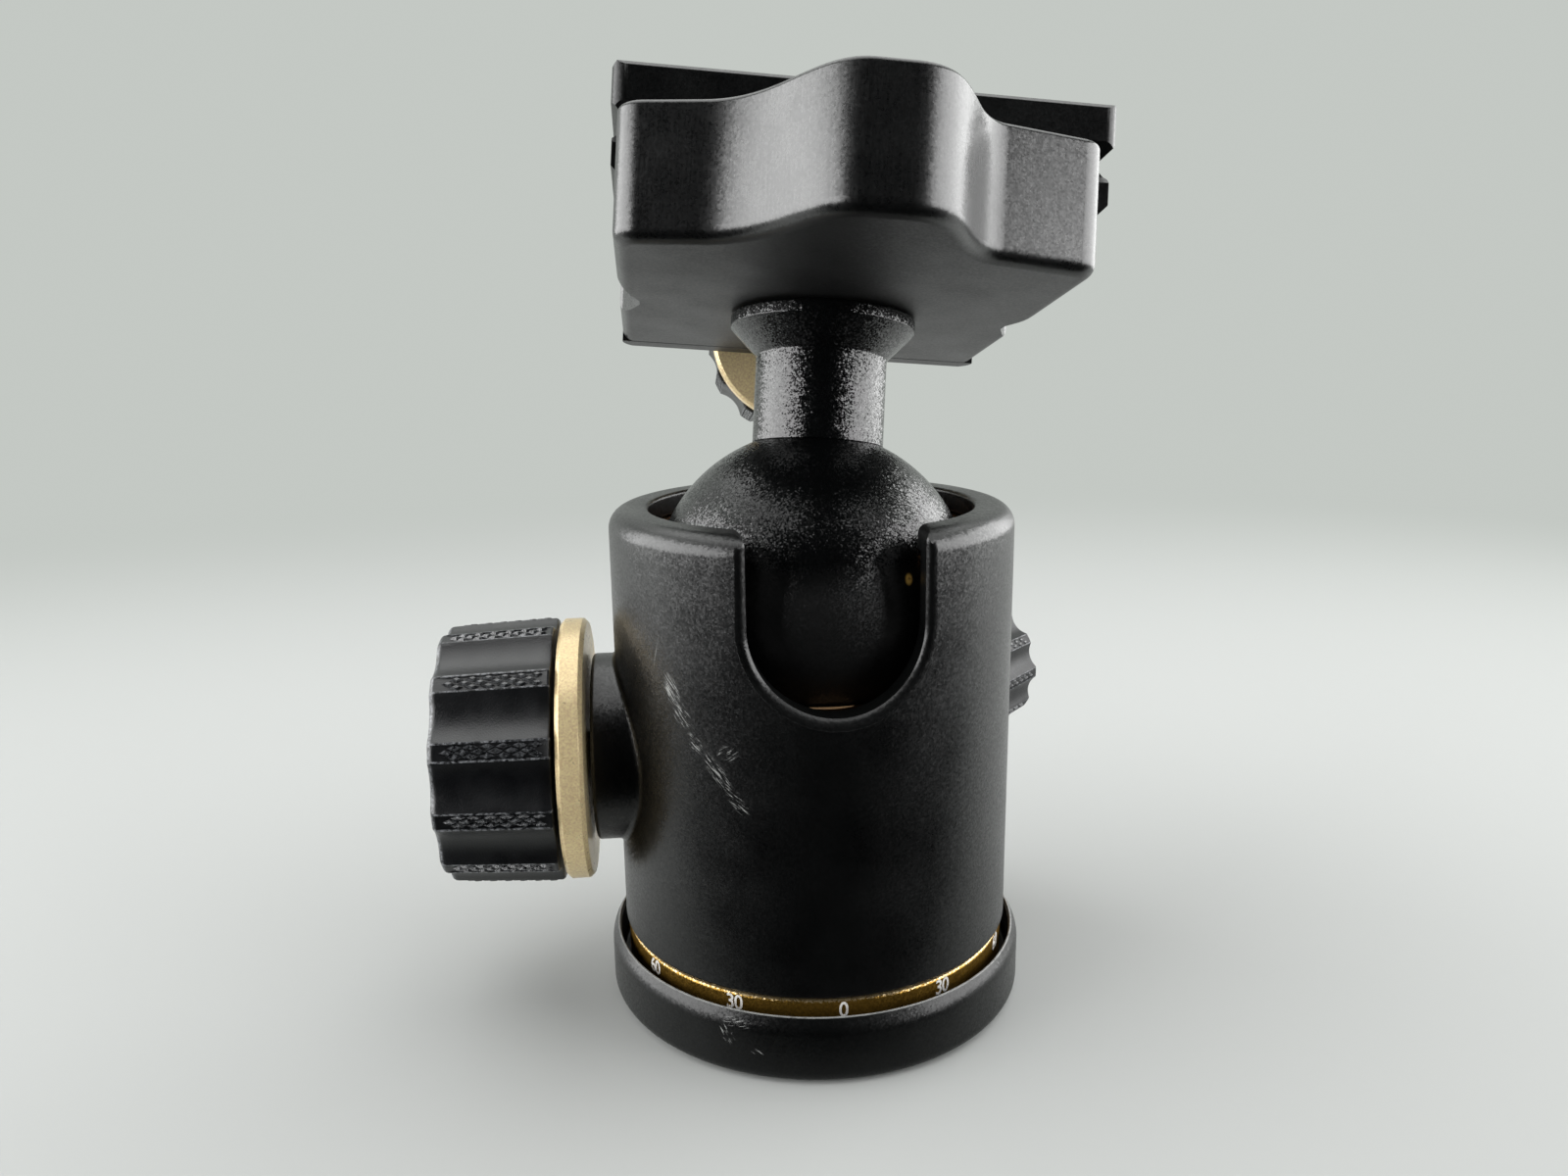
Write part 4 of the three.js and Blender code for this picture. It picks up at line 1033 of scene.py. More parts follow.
def lobeShares():
    # shares round one lobe, close together at the ridges
    crest, ridge = lobeShape["crestShare"], lobeShape["ridgeShare"]
    edges = [0.0, crest * 0.5, crest - ridge - 0.006, crest - ridge + 0.001, crest - 0.004, crest + 0.004]
    valley = [crest + 0.004 + (0.496 - crest) * k / 8 for k in range(1, 9)]
    half = edges + valley
    return half + [1 - share for share in reversed(half) if 0 < share < 0.499]


def markRidges(grip, knob, start):
    # the ridges beside the strips and the rim of the outer end are marked for wear and a painted highlight
    crest, ridge = lobeShape["crestShare"], lobeShape["ridgeShare"]
    rim = start + knob["gripLength"] - knob["gripEdge"]
    wearAndHighlight = grip.data.attributes.new("ridgeSheenAndWear", "FLOAT", "POINT")
    for vertex, item in zip(grip.data.vertices, wearAndHighlight.data):
        x, y, z = vertex.co
        share = math.atan2(y, x) / (2 * math.pi) * knob["lobes"] % 1
        away = min(share, 1 - share)
        outside = math.hypot(x, y) > knob["gripRadius"] - knob["lobeDepth"] - knob["taper"] - knob["gripEdge"]
        onRidge = crest - ridge - 0.001 < away < crest + 0.002
        item.value = 1.0 if outside and (onRidge or z > rim + knob["gripEdge"] * 0.4) else 0.0


def makeGrip(knob, place, material):
    start = gripStart(knob)
    length, edge, foot = knob["gripLength"], knob["gripEdge"], lobeShape["footEdge"]
    bore, boreEdge = knob["bore"], lobeShape["boreEdge"]
    shares = lobeShares()
    levels = [(foot, 0.0), (foot * 0.3, foot * 0.3), (0.0, foot)]
    levels += [(0.0, foot + (length - foot - edge) * k / 10) for k in range(1, 11)]
    turns = [math.pi / 2 * k / 5 for k in range(1, 6)]
    levels += [(edge * (1 - math.cos(turn)), length - edge * (1 - math.sin(turn))) for turn in turns]

    def ringOf(along, radiusAt):
        ring = []
        for lobe in range(knob["lobes"]):
            for share in shares:
                radius = radiusAt(share)
                angle = 2 * math.pi * (lobe + share) / knob["lobes"]
                ring.append((radius * math.cos(angle), radius * math.sin(angle), start + along))
        return ring

    rings = []
    for depth, along in levels:
        # the sunk field of each strip ends a little before both ends of the grip
        fade = min(1.0, max(0.0, (along - lobeShape["fieldStart"]) / lobeShape["footFade"]),
                   max(0.0, (length - edge * 0.9 - along) / lobeShape["endFade"]))

        def outside(share):
            reach = lobeReach(knob, share)
            if reach == lobeShape["fieldDepth"] and min(share, 1 - share) < lobeShape["crestShare"]:
                reach *= fade
            return knob["gripRadius"] - reach - depth - knob["taper"] * along / length

        rings.append(ringOf(along, outside))
    for along, radius in ((length, bore + boreEdge), (length - boreEdge, bore), (0.0, bore)):
        rings.append(ringOf(along, lambda share: radius))
    grip = lofted(knob["prefix"] + "_rubber", rings, closed=True)
    markRidges(grip, knob, start)
    finished(grip, place, material, knob["prefix"], [knob["prefix"] + "_grip"], 32)


def knurlTree():
    # rows of small diamonds on every strip of a grip
    whole = ("Strips", "Columns", "Rows")
    tree, given = newTree("knurlTree", (*whole, "Radius", "Taper", "Start", "Length", "Diamond Length",
                                        "Diamond Width", "Diamond Height", "Row Angle"), whole)
    number = partial(maths, tree)
    perStrip = number("MULTIPLY", given["Columns"], given["Rows"])
    total = number("MULTIPLY", perStrip, given["Strips"])
    line = shaderNode(tree, "GeometryNodeMeshLine", {"Count": total})
    index = shaderNode(tree, "GeometryNodeInputIndex").outputs["Index"]
    strip = number("FLOOR", number("DIVIDE", number("ADD", index, 0.5), perStrip))
    within = number("SUBTRACT", index, number("MULTIPLY", strip, perStrip))
    row = number("FLOOR", number("DIVIDE", number("ADD", within, 0.5), given["Columns"]))
    column = number("SUBTRACT", within, number("MULTIPLY", row, given["Columns"]))
    odd = number("MODULO", row, 2.0)
    pitch = number("DIVIDE", given["Length"], number("ADD", given["Columns"], 0.5))
    along = number("MULTIPLY", number("ADD", number("ADD", column, 0.5), number("MULTIPLY", odd, 0.5)), pitch)
    height = number("ADD", given["Start"], along)
    share = number("DIVIDE", along, given["Length"])
    radius = number("SUBTRACT", given["Radius"], number("MULTIPLY", share, given["Taper"]))
    middle = number("MULTIPLY", number("SUBTRACT", given["Rows"], 1.0), 0.5)
    offset = number("MULTIPLY", number("SUBTRACT", row, middle), given["Row Angle"])
    step = number("DIVIDE", 2 * math.pi, given["Strips"])
    angle = number("ADD", number("MULTIPLY", strip, step), offset)
    spot = vectorOf(tree, number("MULTIPLY", radius, number("COSINE", angle)),
                    number("MULTIPLY", radius, number("SINE", angle)), height)
    points = shaderNode(tree, "GeometryNodeSetPosition", {"Geometry": line.outputs["Mesh"], "Position": spot})
    euler = vectorOf(tree, y=math.pi / 2, z=angle)
    turn = shaderNode(tree, "FunctionNodeEulerToRotation", {"Euler": euler}).outputs["Rotation"]
    diamond = shaderNode(tree, "GeometryNodeMeshCone", {
        "Vertices": 4, "Radius Top": 0.42, "Radius Bottom": 1.0, "Depth": given["Diamond Height"]})
    size = vectorOf(tree, given["Diamond Length"], given["Diamond Width"], 1.0)
    return repeated(tree, points.outputs["Geometry"], diamond.outputs["Mesh"], Rotation=turn, Scale=size)


knurls = knurlTree()


def makeKnurling(knob, place, material):
    shareWidth = lobeShape["crestShare"] - lobeShape["ridgeShare"]
    stripAngle = 2 * math.pi / knob["lobes"] * 2 * shareWidth
    studs = grown(knob["prefix"] + "_knurling", knurls, {
        "Strips": knob["lobes"], "Columns": knob["knurlColumns"], "Rows": knob["knurlRows"],
        "Radius": knob["gripRadius"] - lobeShape["fieldDepth"] - 0.02, "Taper": knob["taper"] * 0.9,
        "Start": gripStart(knob) + 0.5, "Length": knob["gripLength"] - knob["gripEdge"] - 0.9,
        "Diamond Length": knob["knurlLength"],
        "Diamond Width": knob["knurlWidth"], "Diamond Height": knob["knurlHeight"],
        "Row Angle": stripAngle * 0.84 / knob["knurlRows"]})
    finished(studs, place, material, knob["prefix"], sharpAngle=10)


def makeRing(knob, place, material):
    start = knob["face"] + knob["gap"]
    end = start + knob["ringWidth"]
    bore, radius, edge, soft = knob["ringBore"], knob["ringRadius"], knob["ringEdge"], 0.12
    line = filleted([
        (bore, start, 0), (radius - edge, start, soft), (radius, start + edge, soft),
        (radius, end - edge, soft), (radius - edge, end, soft), (bore, end, 0)], steps=3)
    ring = turned(knob["prefix"] + "_band", line, 144)
    finished(ring, place, material, knob["prefix"], [knob["prefix"] + "_ring"], 30)


def makeCap(knob, place, material):
    end = gripStart(knob) + knob["gripLength"] - knob["capRecess"]
    size, radius, start = capShape, knob["coreRadius"], end - knob["capWidth"]
    dish, middle = end - size["dishDepth"], end - size["middleDepth"]
    line = filleted([
        (0, start, 0), (radius, start, 0), (radius, end, size["edge"]),
        (radius * size["rimShare"], end, 0.15),
        (radius * size["dishShare"], dish, 0.2), (radius * size["middleShare"], middle, 0.5),
        (0, middle, 0)], closed=False, steps=4)
    cap = turned(knob["prefix"] + "_disc", line, 120)
    finished(cap, place, material, knob["prefix"], [knob["prefix"] + "_cap"], 30)


def makeKnob(knob, place):
    place = place @ Matrix.Rotation(math.radians(knob["phase"]), 4, "Z")
    makeRing(knob, place, goldAnodised(knob["prefix"] + "Gold", place, goldColor))
    ior, roughness = knob["gripSheen"]
    makeGrip(knob, place, gripRubber(knob["prefix"] + "Rubber", place, ior, roughness, 0.7, True))
    # painted highlight: the knurl diamonds take patchy light grey for the bright edges they show, and a
    # glossier rubber
    worn = gripRubber(knob["prefix"] + "HighlightedRubber", place, ior + 0.3, roughness - 0.08, 0.4)
    makeKnurling(knob, place, worn)
    makeCap(knob, place, satinBlack(knob["prefix"] + "CapBlack", place))


makeKnob(bigKnob, lockPlace)
makeKnob(smallKnob, panPlace)
makeKnob(jawKnob, clampKnobPlace)
print("knobs made")


# Ball and stem

ball = {"radius": 18.0, "chip": (8.09, -15.48, 51.33), "chipSize": (0.495, 0.88, 0.6875),
        "greasedBelow": 53.5}
stem = {
    "neck": 7.46, "foot": 18.06, "flare": 26.33, "flareRise": 3.1, "flange": 10.5, "flangeHeight": 1.35,
    "edge": 0.28, "neckRound": 0.5, "bowlEdge": 0.15,
}


def ballChip(tree, local):
    near = nearness(tree, local, ball["chip"], ball["chipSize"])
    broken = ranged(tree, noise(tree, local, 1.1, 2), 0.3, 0.36)
    return maths(tree, "MULTIPLY", near, broken)


def makeBall():
    line = arcLine(0, 0, ball["radius"], -90, 90, 72)
    line[0], line[-1] = (0, -ball["radius"]), (0, ball["radius"])
    sphere = turned("ball_surface", line, 144)
    material = blastedBlack("ballBlack", uprightPlace, 1.6, 0.22, 0.3, ballChip, ball["greasedBelow"])
    finished(sphere, Matrix.Translation(ballCentre) @ toMetres, material, "ball", ["ball"])


def makeStem():
    size = stem
    neck, flange, edge = size["neck"], size["flange"], size["edge"]
    foot = math.sqrt(size["foot"] ** 2 - neck ** 2)
    bowl = []
    for k in range(9):
        radius = (neck - size["bowlEdge"]) * k / 8
        bowl.append((radius, math.sqrt(size["foot"] ** 2 - radius ** 2)))
    under = size["flare"] + size["flareRise"]
    top = under + size["flangeHeight"]
    outer = filleted([
        (0, foot, 0), (neck, foot, 0), (neck, size["flare"], size["neckRound"]), (flange, under, edge),
        (flange, top, edge), (0, top, 0)], closed=False)[1:]
    fine = refined(bowl + outer, 1.5)
    shaft = turned("stem_neck", [p for p in fine if p[0] > 1e-6 or p in (bowl[0], outer[-1])], 144)
    material = blastedBlack("stemBlack", clampPlace, 1.72, 0.2, 0.36)
    finished(shaft, clampPlace, material, "stem", ["stem"], 32)


makeBall()
makeStem()
print("ball and stem made")


# Clamp: body with its crest, jaw, and what is in them

clamp = {
    "half": 23.2, "bottom": 31.08, "top": 44.03, "bed": 38.68, "rear": 20.4, "lowEdge": 1.5, "highEdge": 0.5,
    "shoulderCorner": 24.9, "crestFlat": 1.7, "crestReach": 38.5,
    "leftShoulder": {"inner": 15.6, "reach": 26.67, "curve": 7.3, "drop": 1.63, "corner": 2.9, "crest": 5.6},
    "rightShoulder": {"inner": 12.9, "reach": 27.3, "curve": 4.6, "drop": 1.0, "corner": 2.8, "crest": 6.5},
    "notchDepth": 2.4, "notchRun": 14.0, "notchFloor": 1.6, "notchShift": 1.0,
    "railFace": 18.6, "railTip": 17.75, "railFoot": 42.63, "railRise": 0.85,
    "boltRadius": 5.7, "boltSeat": 33.98, "channelHalf": 19.2, "channelWidth": 5.2, "channelDepth": 1.4,
    "channelCorner": 1.2,
    "screwRadius": 2.8, "screwBottom": 8.1, "pinSpacing": 30.0, "pinBore": 1.9, "pinStart": 7.8,
    "springBore": 2.8, "springStart": 12.2, "boltBore": 3.3, "jawPinBore": 1.75, "jawPinEnd": 23.65,
    "jawInner": 20.7, "jawOuter": 24.3, "jawEdge": 0.8, "jawCorner": 3.3, "jawGap": 0.3,
}


def clampOutline():
    size = clamp
    half = size["half"]
    crest = (size["crestFlat"], -size["crestReach"])

    def oneSide(shoulder):
        inner = (shoulder["inner"], -shoulder["reach"])
        side = filleted([(half, size["rear"] + 6, 0), (half, -size["shoulderCorner"], shoulder["corner"]),
                         (*inner, 0)], closed=False, steps=12)
        return side + bezier(inner, (inner[0] - shoulder["curve"], inner[1] - shoulder["drop"]),
                             (crest[0] + shoulder["crest"], crest[1]), crest, 24)

    left = [(-x, y) for x, y in oneSide(size["leftShoulder"])]
    return left + oneSide(size["rightShoulder"])[::-1]


def sideNotchTool(side):
    size = clamp
    half = size["half"]
    front, back = -size["notchShift"] - size["notchRun"] / 2, -size["notchShift"] + size["notchRun"] / 2
    floor = size["notchFloor"] / 2
    low, high = -size["notchShift"] - floor, -size["notchShift"] + floor
    depth = half - size["notchDepth"]
    line = filleted([
        (half + 4, front, 0), (half, front, 1.6), (depth, low, 1.2), (depth, high, 1.2), (half, back, 1.6),
        (half + 4, back, 0)], steps=6)
    if side < 0:
        line = [(-x, y) for x, y in reversed(line)]
    return extruded("side_notch", line, size["bottom"] - 4, size["top"] + 4)


def boreAlongY(name, radius, start, x, end):
    place = Matrix.Translation((x, 0, clampScrewHeight)) @ Matrix.Rotation(-math.pi / 2, 4, "X")
    return turnedTool(roundBar(name, radius, start, end, 40), place)


def makeClampBody(material):
    size = clamp
    bottom, top, bed, rear = size["bottom"], size["top"], size["bed"], size["rear"]
    body = extruded("clamp_block", clampOutline(), bottom, top, size["lowEdge"], size["highEdge"], 7)
    wide = size["half"] + 5
    combined(body, alongX("rear_cut", rectangle(rear, bottom - 5, rear + 15, top + 5), -wide, wide))
    face, tip, foot = size["railFace"], size["railTip"], size["railFoot"]
    combined(body, alongX("bed_cut", filleted([
        (-face, bed, 0.25), (-face, foot, 0.1), (-tip, foot + size["railRise"], 0.12), (-tip, top + 5, 0),
        (rear + 8, top + 5, 0), (rear + 8, bed, 0)], steps=4), -wide, wide))
    for side in (-1, 1):
        combined(body, sideNotchTool(side))
    combined(body, roundBar("bolt_hole", size["boltBore"], bottom - 3, top, 48))
    combined(body, roundBar("bolt_seat", size["boltRadius"], size["boltSeat"], top + 2, 64))
    run, thick = size["channelHalf"], size["channelWidth"] / 2
    channel = rectangle(-run, -thick, run, thick, size["channelCorner"])
    combined(body, extruded("channel", channel, bed - size["channelDepth"], top + 3))
    end = rear + 5
    combined(body, boreAlongY("screw_bore", size["screwRadius"], size["screwBottom"], 0, end))
    for side in (-1, 1):
        x = side * size["pinSpacing"] / 2
        combined(body, boreAlongY("pin_bore", size["pinBore"], size["pinStart"], x, end))
        combined(body, boreAlongY("spring_bore", size["springBore"], size["springStart"], x, end))
    finished(body, clampPlace, material, "clamp", ["clamp_body"], 30)


def makeJaw(material):
    size = clamp
    face, tip, foot = size["railFace"], size["railTip"], size["railFoot"]
    inner, outer, edge = size["jawInner"], size["jawOuter"], size["jawEdge"]
    bottom, top, bed, wide = size["bottom"], size["top"], size["bed"] + size["jawGap"], size["half"]
    line = filleted([
        (inner, bottom, 0.15), (outer, bottom, edge), (outer, top, edge), (tip, top, 0.15),
        (tip, foot + size["railRise"], 0.1), (face, foot, 0.1), (face, bed, 0.1), (inner, bed, 0)])
    jaw = alongX("jaw_bar", line, -wide, wide)
    corner = size["jawCorner"]
    plan = filleted([(-wide, -5, 0), (wide, -5, 0), (wide, outer, corner), (-wide, outer, corner)], steps=10)
    combined(jaw, extruded("jaw_plan", plan, bottom - 3, top + 3), "INTERSECT")
    combined(jaw, boreAlongY("screw_bore", size["screwRadius"], 10, 0, outer + 3))
    for side in (-1, 1):
        x = side * size["pinSpacing"] / 2
        combined(jaw, boreAlongY("pin_bore", size["jawPinBore"], 10, x, size["jawPinEnd"]))
    finished(jaw, clampPlace, material, "jaw", ["clamp_jaw"], 30)


springs = {"Rotations": 7.0, "Coil Radius": 2.2, "Wire Radius": 0.3, "Length": 7.3, "Spacing": 30.0}


def springTree():
    tree, given = newTree("springTree", springs)
    coil = shaderNode(tree, "GeometryNodeCurveSpiral", {
        "Resolution": 24, "Rotations": given["Rotations"], "Start Radius": given["Coil Radius"],
        "End Radius": given["Coil Radius"], "Height": given["Length"]})
    wire = shaderNode(tree, "GeometryNodeCurvePrimitiveCircle", {
        "Resolution": 10, "Radius": given["Wire Radius"]})
    tube = shaderNode(tree, "GeometryNodeCurveToMesh", {
        "Curve": coil.outputs["Curve"], "Profile Curve": wire.outputs["Curve"], "Fill Caps": True})
    line = shaderNode(tree, "GeometryNodeMeshLine", {
        "Count": 2, "Start Location": vectorOf(tree, maths(tree, "MULTIPLY", given["Spacing"], -0.5)),
        "Offset": vectorOf(tree, given["Spacing"])})
    return repeated(tree, line.outputs["Mesh"], tube.outputs["Mesh"])


def makeSprings(steel):
    coils = grown("jaw_coils", springTree(), springs)
    place = clampPlace @ Matrix.Translation((0, clamp["springStart"] + 0.6, clampScrewHeight))
    finished(coils, place @ Matrix.Rotation(-math.pi / 2, 4, "X"), steel, "clamp",
             ["jaw_spring_left", "jaw_spring_right"], 30)


# Plate with a dovetail on every side, ribbed strips and a threaded camera screw

plate = {
    "halfX": 25.45, "halfY": 19.0, "shift": 1.35, "bottom": 38.98, "top": 50.28, "edge": 0.5, "corner": 1.6,
    "flangeInset": 0.7, "leftInset": 0.25, "grooveInset": 0.85, "railRise": 3.5, "endRise": 4.0,
    "endEdge": 1.2, "lipRise": 7.4,
    "slotRadius": 3.475, "slotHalf": 2.0, "headRadius": 7.3, "headDepth": 2.6,
    "stripInset": 5.0, "stripWidth": 7.0, "stripSunk": 0.6, "stripStand": 0.6, "stripRoom": 0.15,
    "stopRadius": 2.05, "stopSpacing": 24.0, "stopHole": 3.3,
}


def dovetail(half, rise, foot, leftInset=plate["flangeInset"]):
    size = plate
    bottom, lip, top, edge = size["bottom"], size["bottom"] + size["lipRise"], size["top"], size["edge"]

    def oneSide(flangeInset):
        flange, groove = half - flangeInset, half - size["flangeInset"] - size["grooveInset"]
        return [
            (flange - foot, bottom, 0.25), (flange, bottom + foot, 0.25), (flange, bottom + rise, 0.2),
            (groove, bottom + rise + flange - groove, 0.2), (groove, lip - (half - groove), 0.2),
            (half, lip, 0.25), (half, top - edge, 0.15), (half - edge, top, 0.15)]

    right = oneSide(size["flangeInset"])
    left = [(-x, z, radius) for x, z, radius in reversed(oneSide(leftInset))]
    return filleted(right + left, steps=3)


def slotTool(name, radius, half, low, high):
    line = arcLine(half, 0, radius, -90, 90, 20) + arcLine(-half, 0, radius, 90, 270, 20)
    return extruded(name, line, low, high)


def stripSpan(side):
    outer = plate["halfX"] - plate["stripInset"]
    middle = side * (outer - plate["stripWidth"] / 2)
    return middle - plate["stripWidth"] / 2, middle + plate["stripWidth"] / 2


def makePlate(place, material):
    size = plate
    x, y, bottom, top = size["halfX"], size["halfY"], size["bottom"], size["top"]
    body = alongY("quick_plate", dovetail(x, size["endRise"], size["endEdge"], size["leftInset"]), -y, y)
    rails = alongX("plate_rails", dovetail(y, size["railRise"], size["edge"]), -x, x)
    combined(body, rails, "INTERSECT")
    plan = rectangle(-x, -y, x, y, size["corner"], 10)
    combined(body, extruded("plate_plan", plan, bottom - 3, top + 3), "INTERSECT")
    combined(body, slotTool("screw_slot", size["slotRadius"], size["slotHalf"], bottom - 3, top + 3))
    combined(body, slotTool("head_slot", size["headRadius"], size["slotHalf"], bottom - 3,
                            bottom + size["headDepth"]))
    room = size["stripRoom"]
    back = y - size["stripInset"] + room
    for side in (-1, 1):
        low, high = stripSpan(side)
        pocket = rectangle(low - room, -back, high + room, back, 0.8)
        combined(body, extruded("pocket", pocket, top - size["stripSunk"] - room, top + 2))
        hole = roundBar("stop_hole", size["stopRadius"], bottom - 3, bottom + size["stopHole"], 32)
        combined(body, turnedTool(hole, Matrix.Translation((side * size["stopSpacing"] / 2, 0, 0))))
    finished(body, place, material, "plate", ["plate"], 30)


ribs = {"Count": 22, "Rib Radius": 0.32, "Rib Length": 6.0, "Run": 26.4}


def ribTree():
    tree, given = newTree("ribTree", ribs, ("Count",))
    number = partial(maths, tree)
    gap = number("DIVIDE", given["Run"], number("SUBTRACT", given["Count"], 1.0))
    line = shaderNode(tree, "GeometryNodeMeshLine", {
        "Count": given["Count"], "Start Location": vectorOf(tree, y=number("MULTIPLY", given["Run"], -0.5)),
        "Offset": vectorOf(tree, y=gap)})
    rib = cylinder(tree, 12, given["Rib Radius"], given["Rib Length"])
    return repeated(tree, line.outputs["Mesh"], rib, Rotation=(0, math.pi / 2, 0))


def makeStrips(place, material):
    size = plate
    tree = ribTree()
    back = size["halfY"] - size["stripInset"]
    for side, word in ((-1, "left"), (1, "right")):
        low, high = stripSpan(side)
        line = rectangle(low, -back, high, back, 0.7)
        surface = size["top"] + size["stripStand"] - ribs["Rib Radius"] * 0.75
        pad = extruded("pad_" + word, line, size["top"] - size["stripSunk"], surface, 0, 0.2)
        finished(pad, place, material, "plate", ["plate_strip_" + word])
        lines = grown("pad_ribs_" + word, tree, ribs)
        middle = Matrix.Translation(((low + high) / 2, 0, surface - 0.08))
        finished(lines, place @ middle, material, "plate", sharpAngle=50)


thread = {"pitch": 1.27, "depth": 0.62, "flanks": 0.88, "fade": 0.5}


def slotAcross(width, low, high):
    # a screwdriver slot
    return extruded("slot", rectangle(-9, -width / 2, 9, width / 2), low, high)


def threadedRing(line, steps, low, high, outward=True):
    # adds a screw thread to a turned outline between two heights: a list of rings of points
    pitch, depth = thread["pitch"], thread["depth"]
    rings = []
    for radius, height in line:
        ring = []
        for k in range(steps):
            angle = 2 * math.pi * k / steps
            cut = 0.0
            if low <= height <= high:
                phase = (height / pitch - k / steps) % 1
                cut = depth * (1 - min(1, abs(phase - 0.5) * 2 / thread["flanks"]))
                cut *= min(1, (height - low) / thread["fade"], (high - height) / thread["fade"])
            reach = radius - cut if outward else radius + cut
            ring.append((reach * math.cos(angle), reach * math.sin(angle), height))
        rings.append(ring)
    return rings


cameraScrew = {
    "radius": 3.175, "head": 7.0, "headBottom": 39.28, "headHeight": 2.0, "end": 55.28, "slot": 1.4,
    "heights": 150,
}


def makeCameraScrew(place, steel):
    size = cameraScrew
    bottom, end, radius, head, heights = (
        size["headBottom"], size["end"], size["radius"], size["head"], size["heights"])
    headTop = bottom + size["headHeight"]
    line = [(0.001, bottom), (head - 0.25, bottom), (head, bottom + 0.25), (head, headTop - 0.15),
            (head - 0.15, headTop), (radius, headTop)]
    line += [(radius, headTop + (end - 0.5 - headTop) * k / heights) for k in range(1, heights + 1)]
    line += [(radius - 0.5, end), (0.001, end)]
    screw = lofted("camera_bolt", threadedRing(line, 48, headTop + 3.0, end - 0.4))
    combined(screw, slotAcross(size["slot"], bottom - 2, bottom + size["headHeight"] / 2))
    finished(screw, place, steel, "camera_screw", ["camera_screw"], 32)


bush = {
    "outer": 4.7, "inner": 3.2, "bottom": 0.2, "top": 8.8, "slot": 1.2, "slotDepth": 1.4, "heights": 80,
}


def makeBush(steel):
    size = bush
    inner, outer, bottom, top, heights = (
        size["inner"], size["outer"], size["bottom"], size["top"], size["heights"])
    span = top - bottom - 0.4
    line = [(inner, bottom + 0.2 + span * k / heights) for k in range(heights + 1)]
    line += [(inner + 0.25, top), (outer, top), (outer, bottom), (inner + 0.35, bottom)]
    sleeve = lofted("socket_sleeve", threadedRing(line, 48, bottom + 0.3, top - 0.3, False), True)
    combined(sleeve, slotAcross(size["slot"], -2, bottom + size["slotDepth"]))
    finished(sleeve, uprightPlace, steel, "base", ["socket_bush"], 32)


steelBright = turnedMetal("steelBright", (0.56, 0.57, 0.58), 0.24)
steelInClamp = turnedMetal("steelInClamp", (0.5, 0.51, 0.52), 0.26, place=clampPlace)
brassPlain = turnedMetal("brassPlain", (0.6, 0.43, 0.17), 0.3)
clampBlack = satinBlack("clampBlack", clampPlace, 0.5, ior=1.86, brushed=True, roughness=0.3, matteUnder=0.2)
plateBlack = satinBlack("plateBlack", clampPlace, 0.6, ior=1.48)
stripRubber = gripRubber("stripRubber", clampPlace)
washerWhite = mattePlastic("washerWhite", (0.78, 0.76, 0.7))
platePlace = clampPlace @ Matrix.Translation((plate["shift"], 0, 0))

makeHubScrews(steelBright)
makeBush(steelBright)
makeClampBody(clampBlack)
makeJaw(clampBlack)
makeSprings(steelInClamp)
print("clamp made")
makePlate(platePlace, plateBlack)
makeStrips(platePlace, stripRubber)
makeCameraScrew(platePlace, steelInClamp)
print("plate made")


# CAD nodes that keep their shape get a finish of their own

keptFinishes = [
    (steelBright, ["pan_hub", "hub_retaining_ring", "lock_knob_spindle", "pan_knob_spindle"]),
    (steelInClamp, ["clamp_bolt", "jaw_pin_left", "jaw_pin_right", "stop_screw_left", "stop_screw_right",
                    "clamp_knob_spindle"]),
    (washerWhite, ["pan_washer"]),
    (brassPlain, ["lock_slider", "pan_lock_shoe"]),
    (satinBlack("coreBlack"), ["lock_knob_core", "pan_knob_core", "clamp_knob_core"]),
]
for material, nodes in keptFinishes:
    for node in nodes:
        mesh = frame["nodes"][node].data
        mesh.materials.clear()
        mesh.materials.append(material)
print("kept nodes finished")


# Floor, light and camera

stage = {
    "floor": (0.55, 0.565, 0.55), "floorRough": 0.85, "size": 12.0, "blendFrom": 0.11, "blendTo": 0.42,
    "shadeFrom": 0.005, "shadeTo": -0.032, "backdrop": (0.55, 0.58, 0.55), "room": (0.004, 0.0045, 0.005),
    "fill": (0.12, 0.125, 0.125), "roomFrom": -0.45, "roomTo": 0.35,
}
lamps = [
    {"name": "softLeft", "azimuth": -88, "elevation": 0, "distance": 0.5, "height": 0.2, "size": (0.76, 0.4),
     "power": 4.0},
    {"name": "softRight", "azimuth": 91, "elevation": 0, "distance": 0.5, "height": 0.2, "size": (1.0, 0.4),
     "power": 4.9},
    {"name": "softTop", "azimuth": 180, "elevation": 80, "distance": 0.5, "height": 0.05, "size": (0.8, 0.7),
     "power": 2.7},
]
view = {
    "position": (-0.015914, -0.130295, 0.077711), "forward": (0.09505, 0.96936, -0.2265),
    "right": (0.99482, -0.10074, -0.01367), "lens": 27.05, "sensor": 36.0,
}


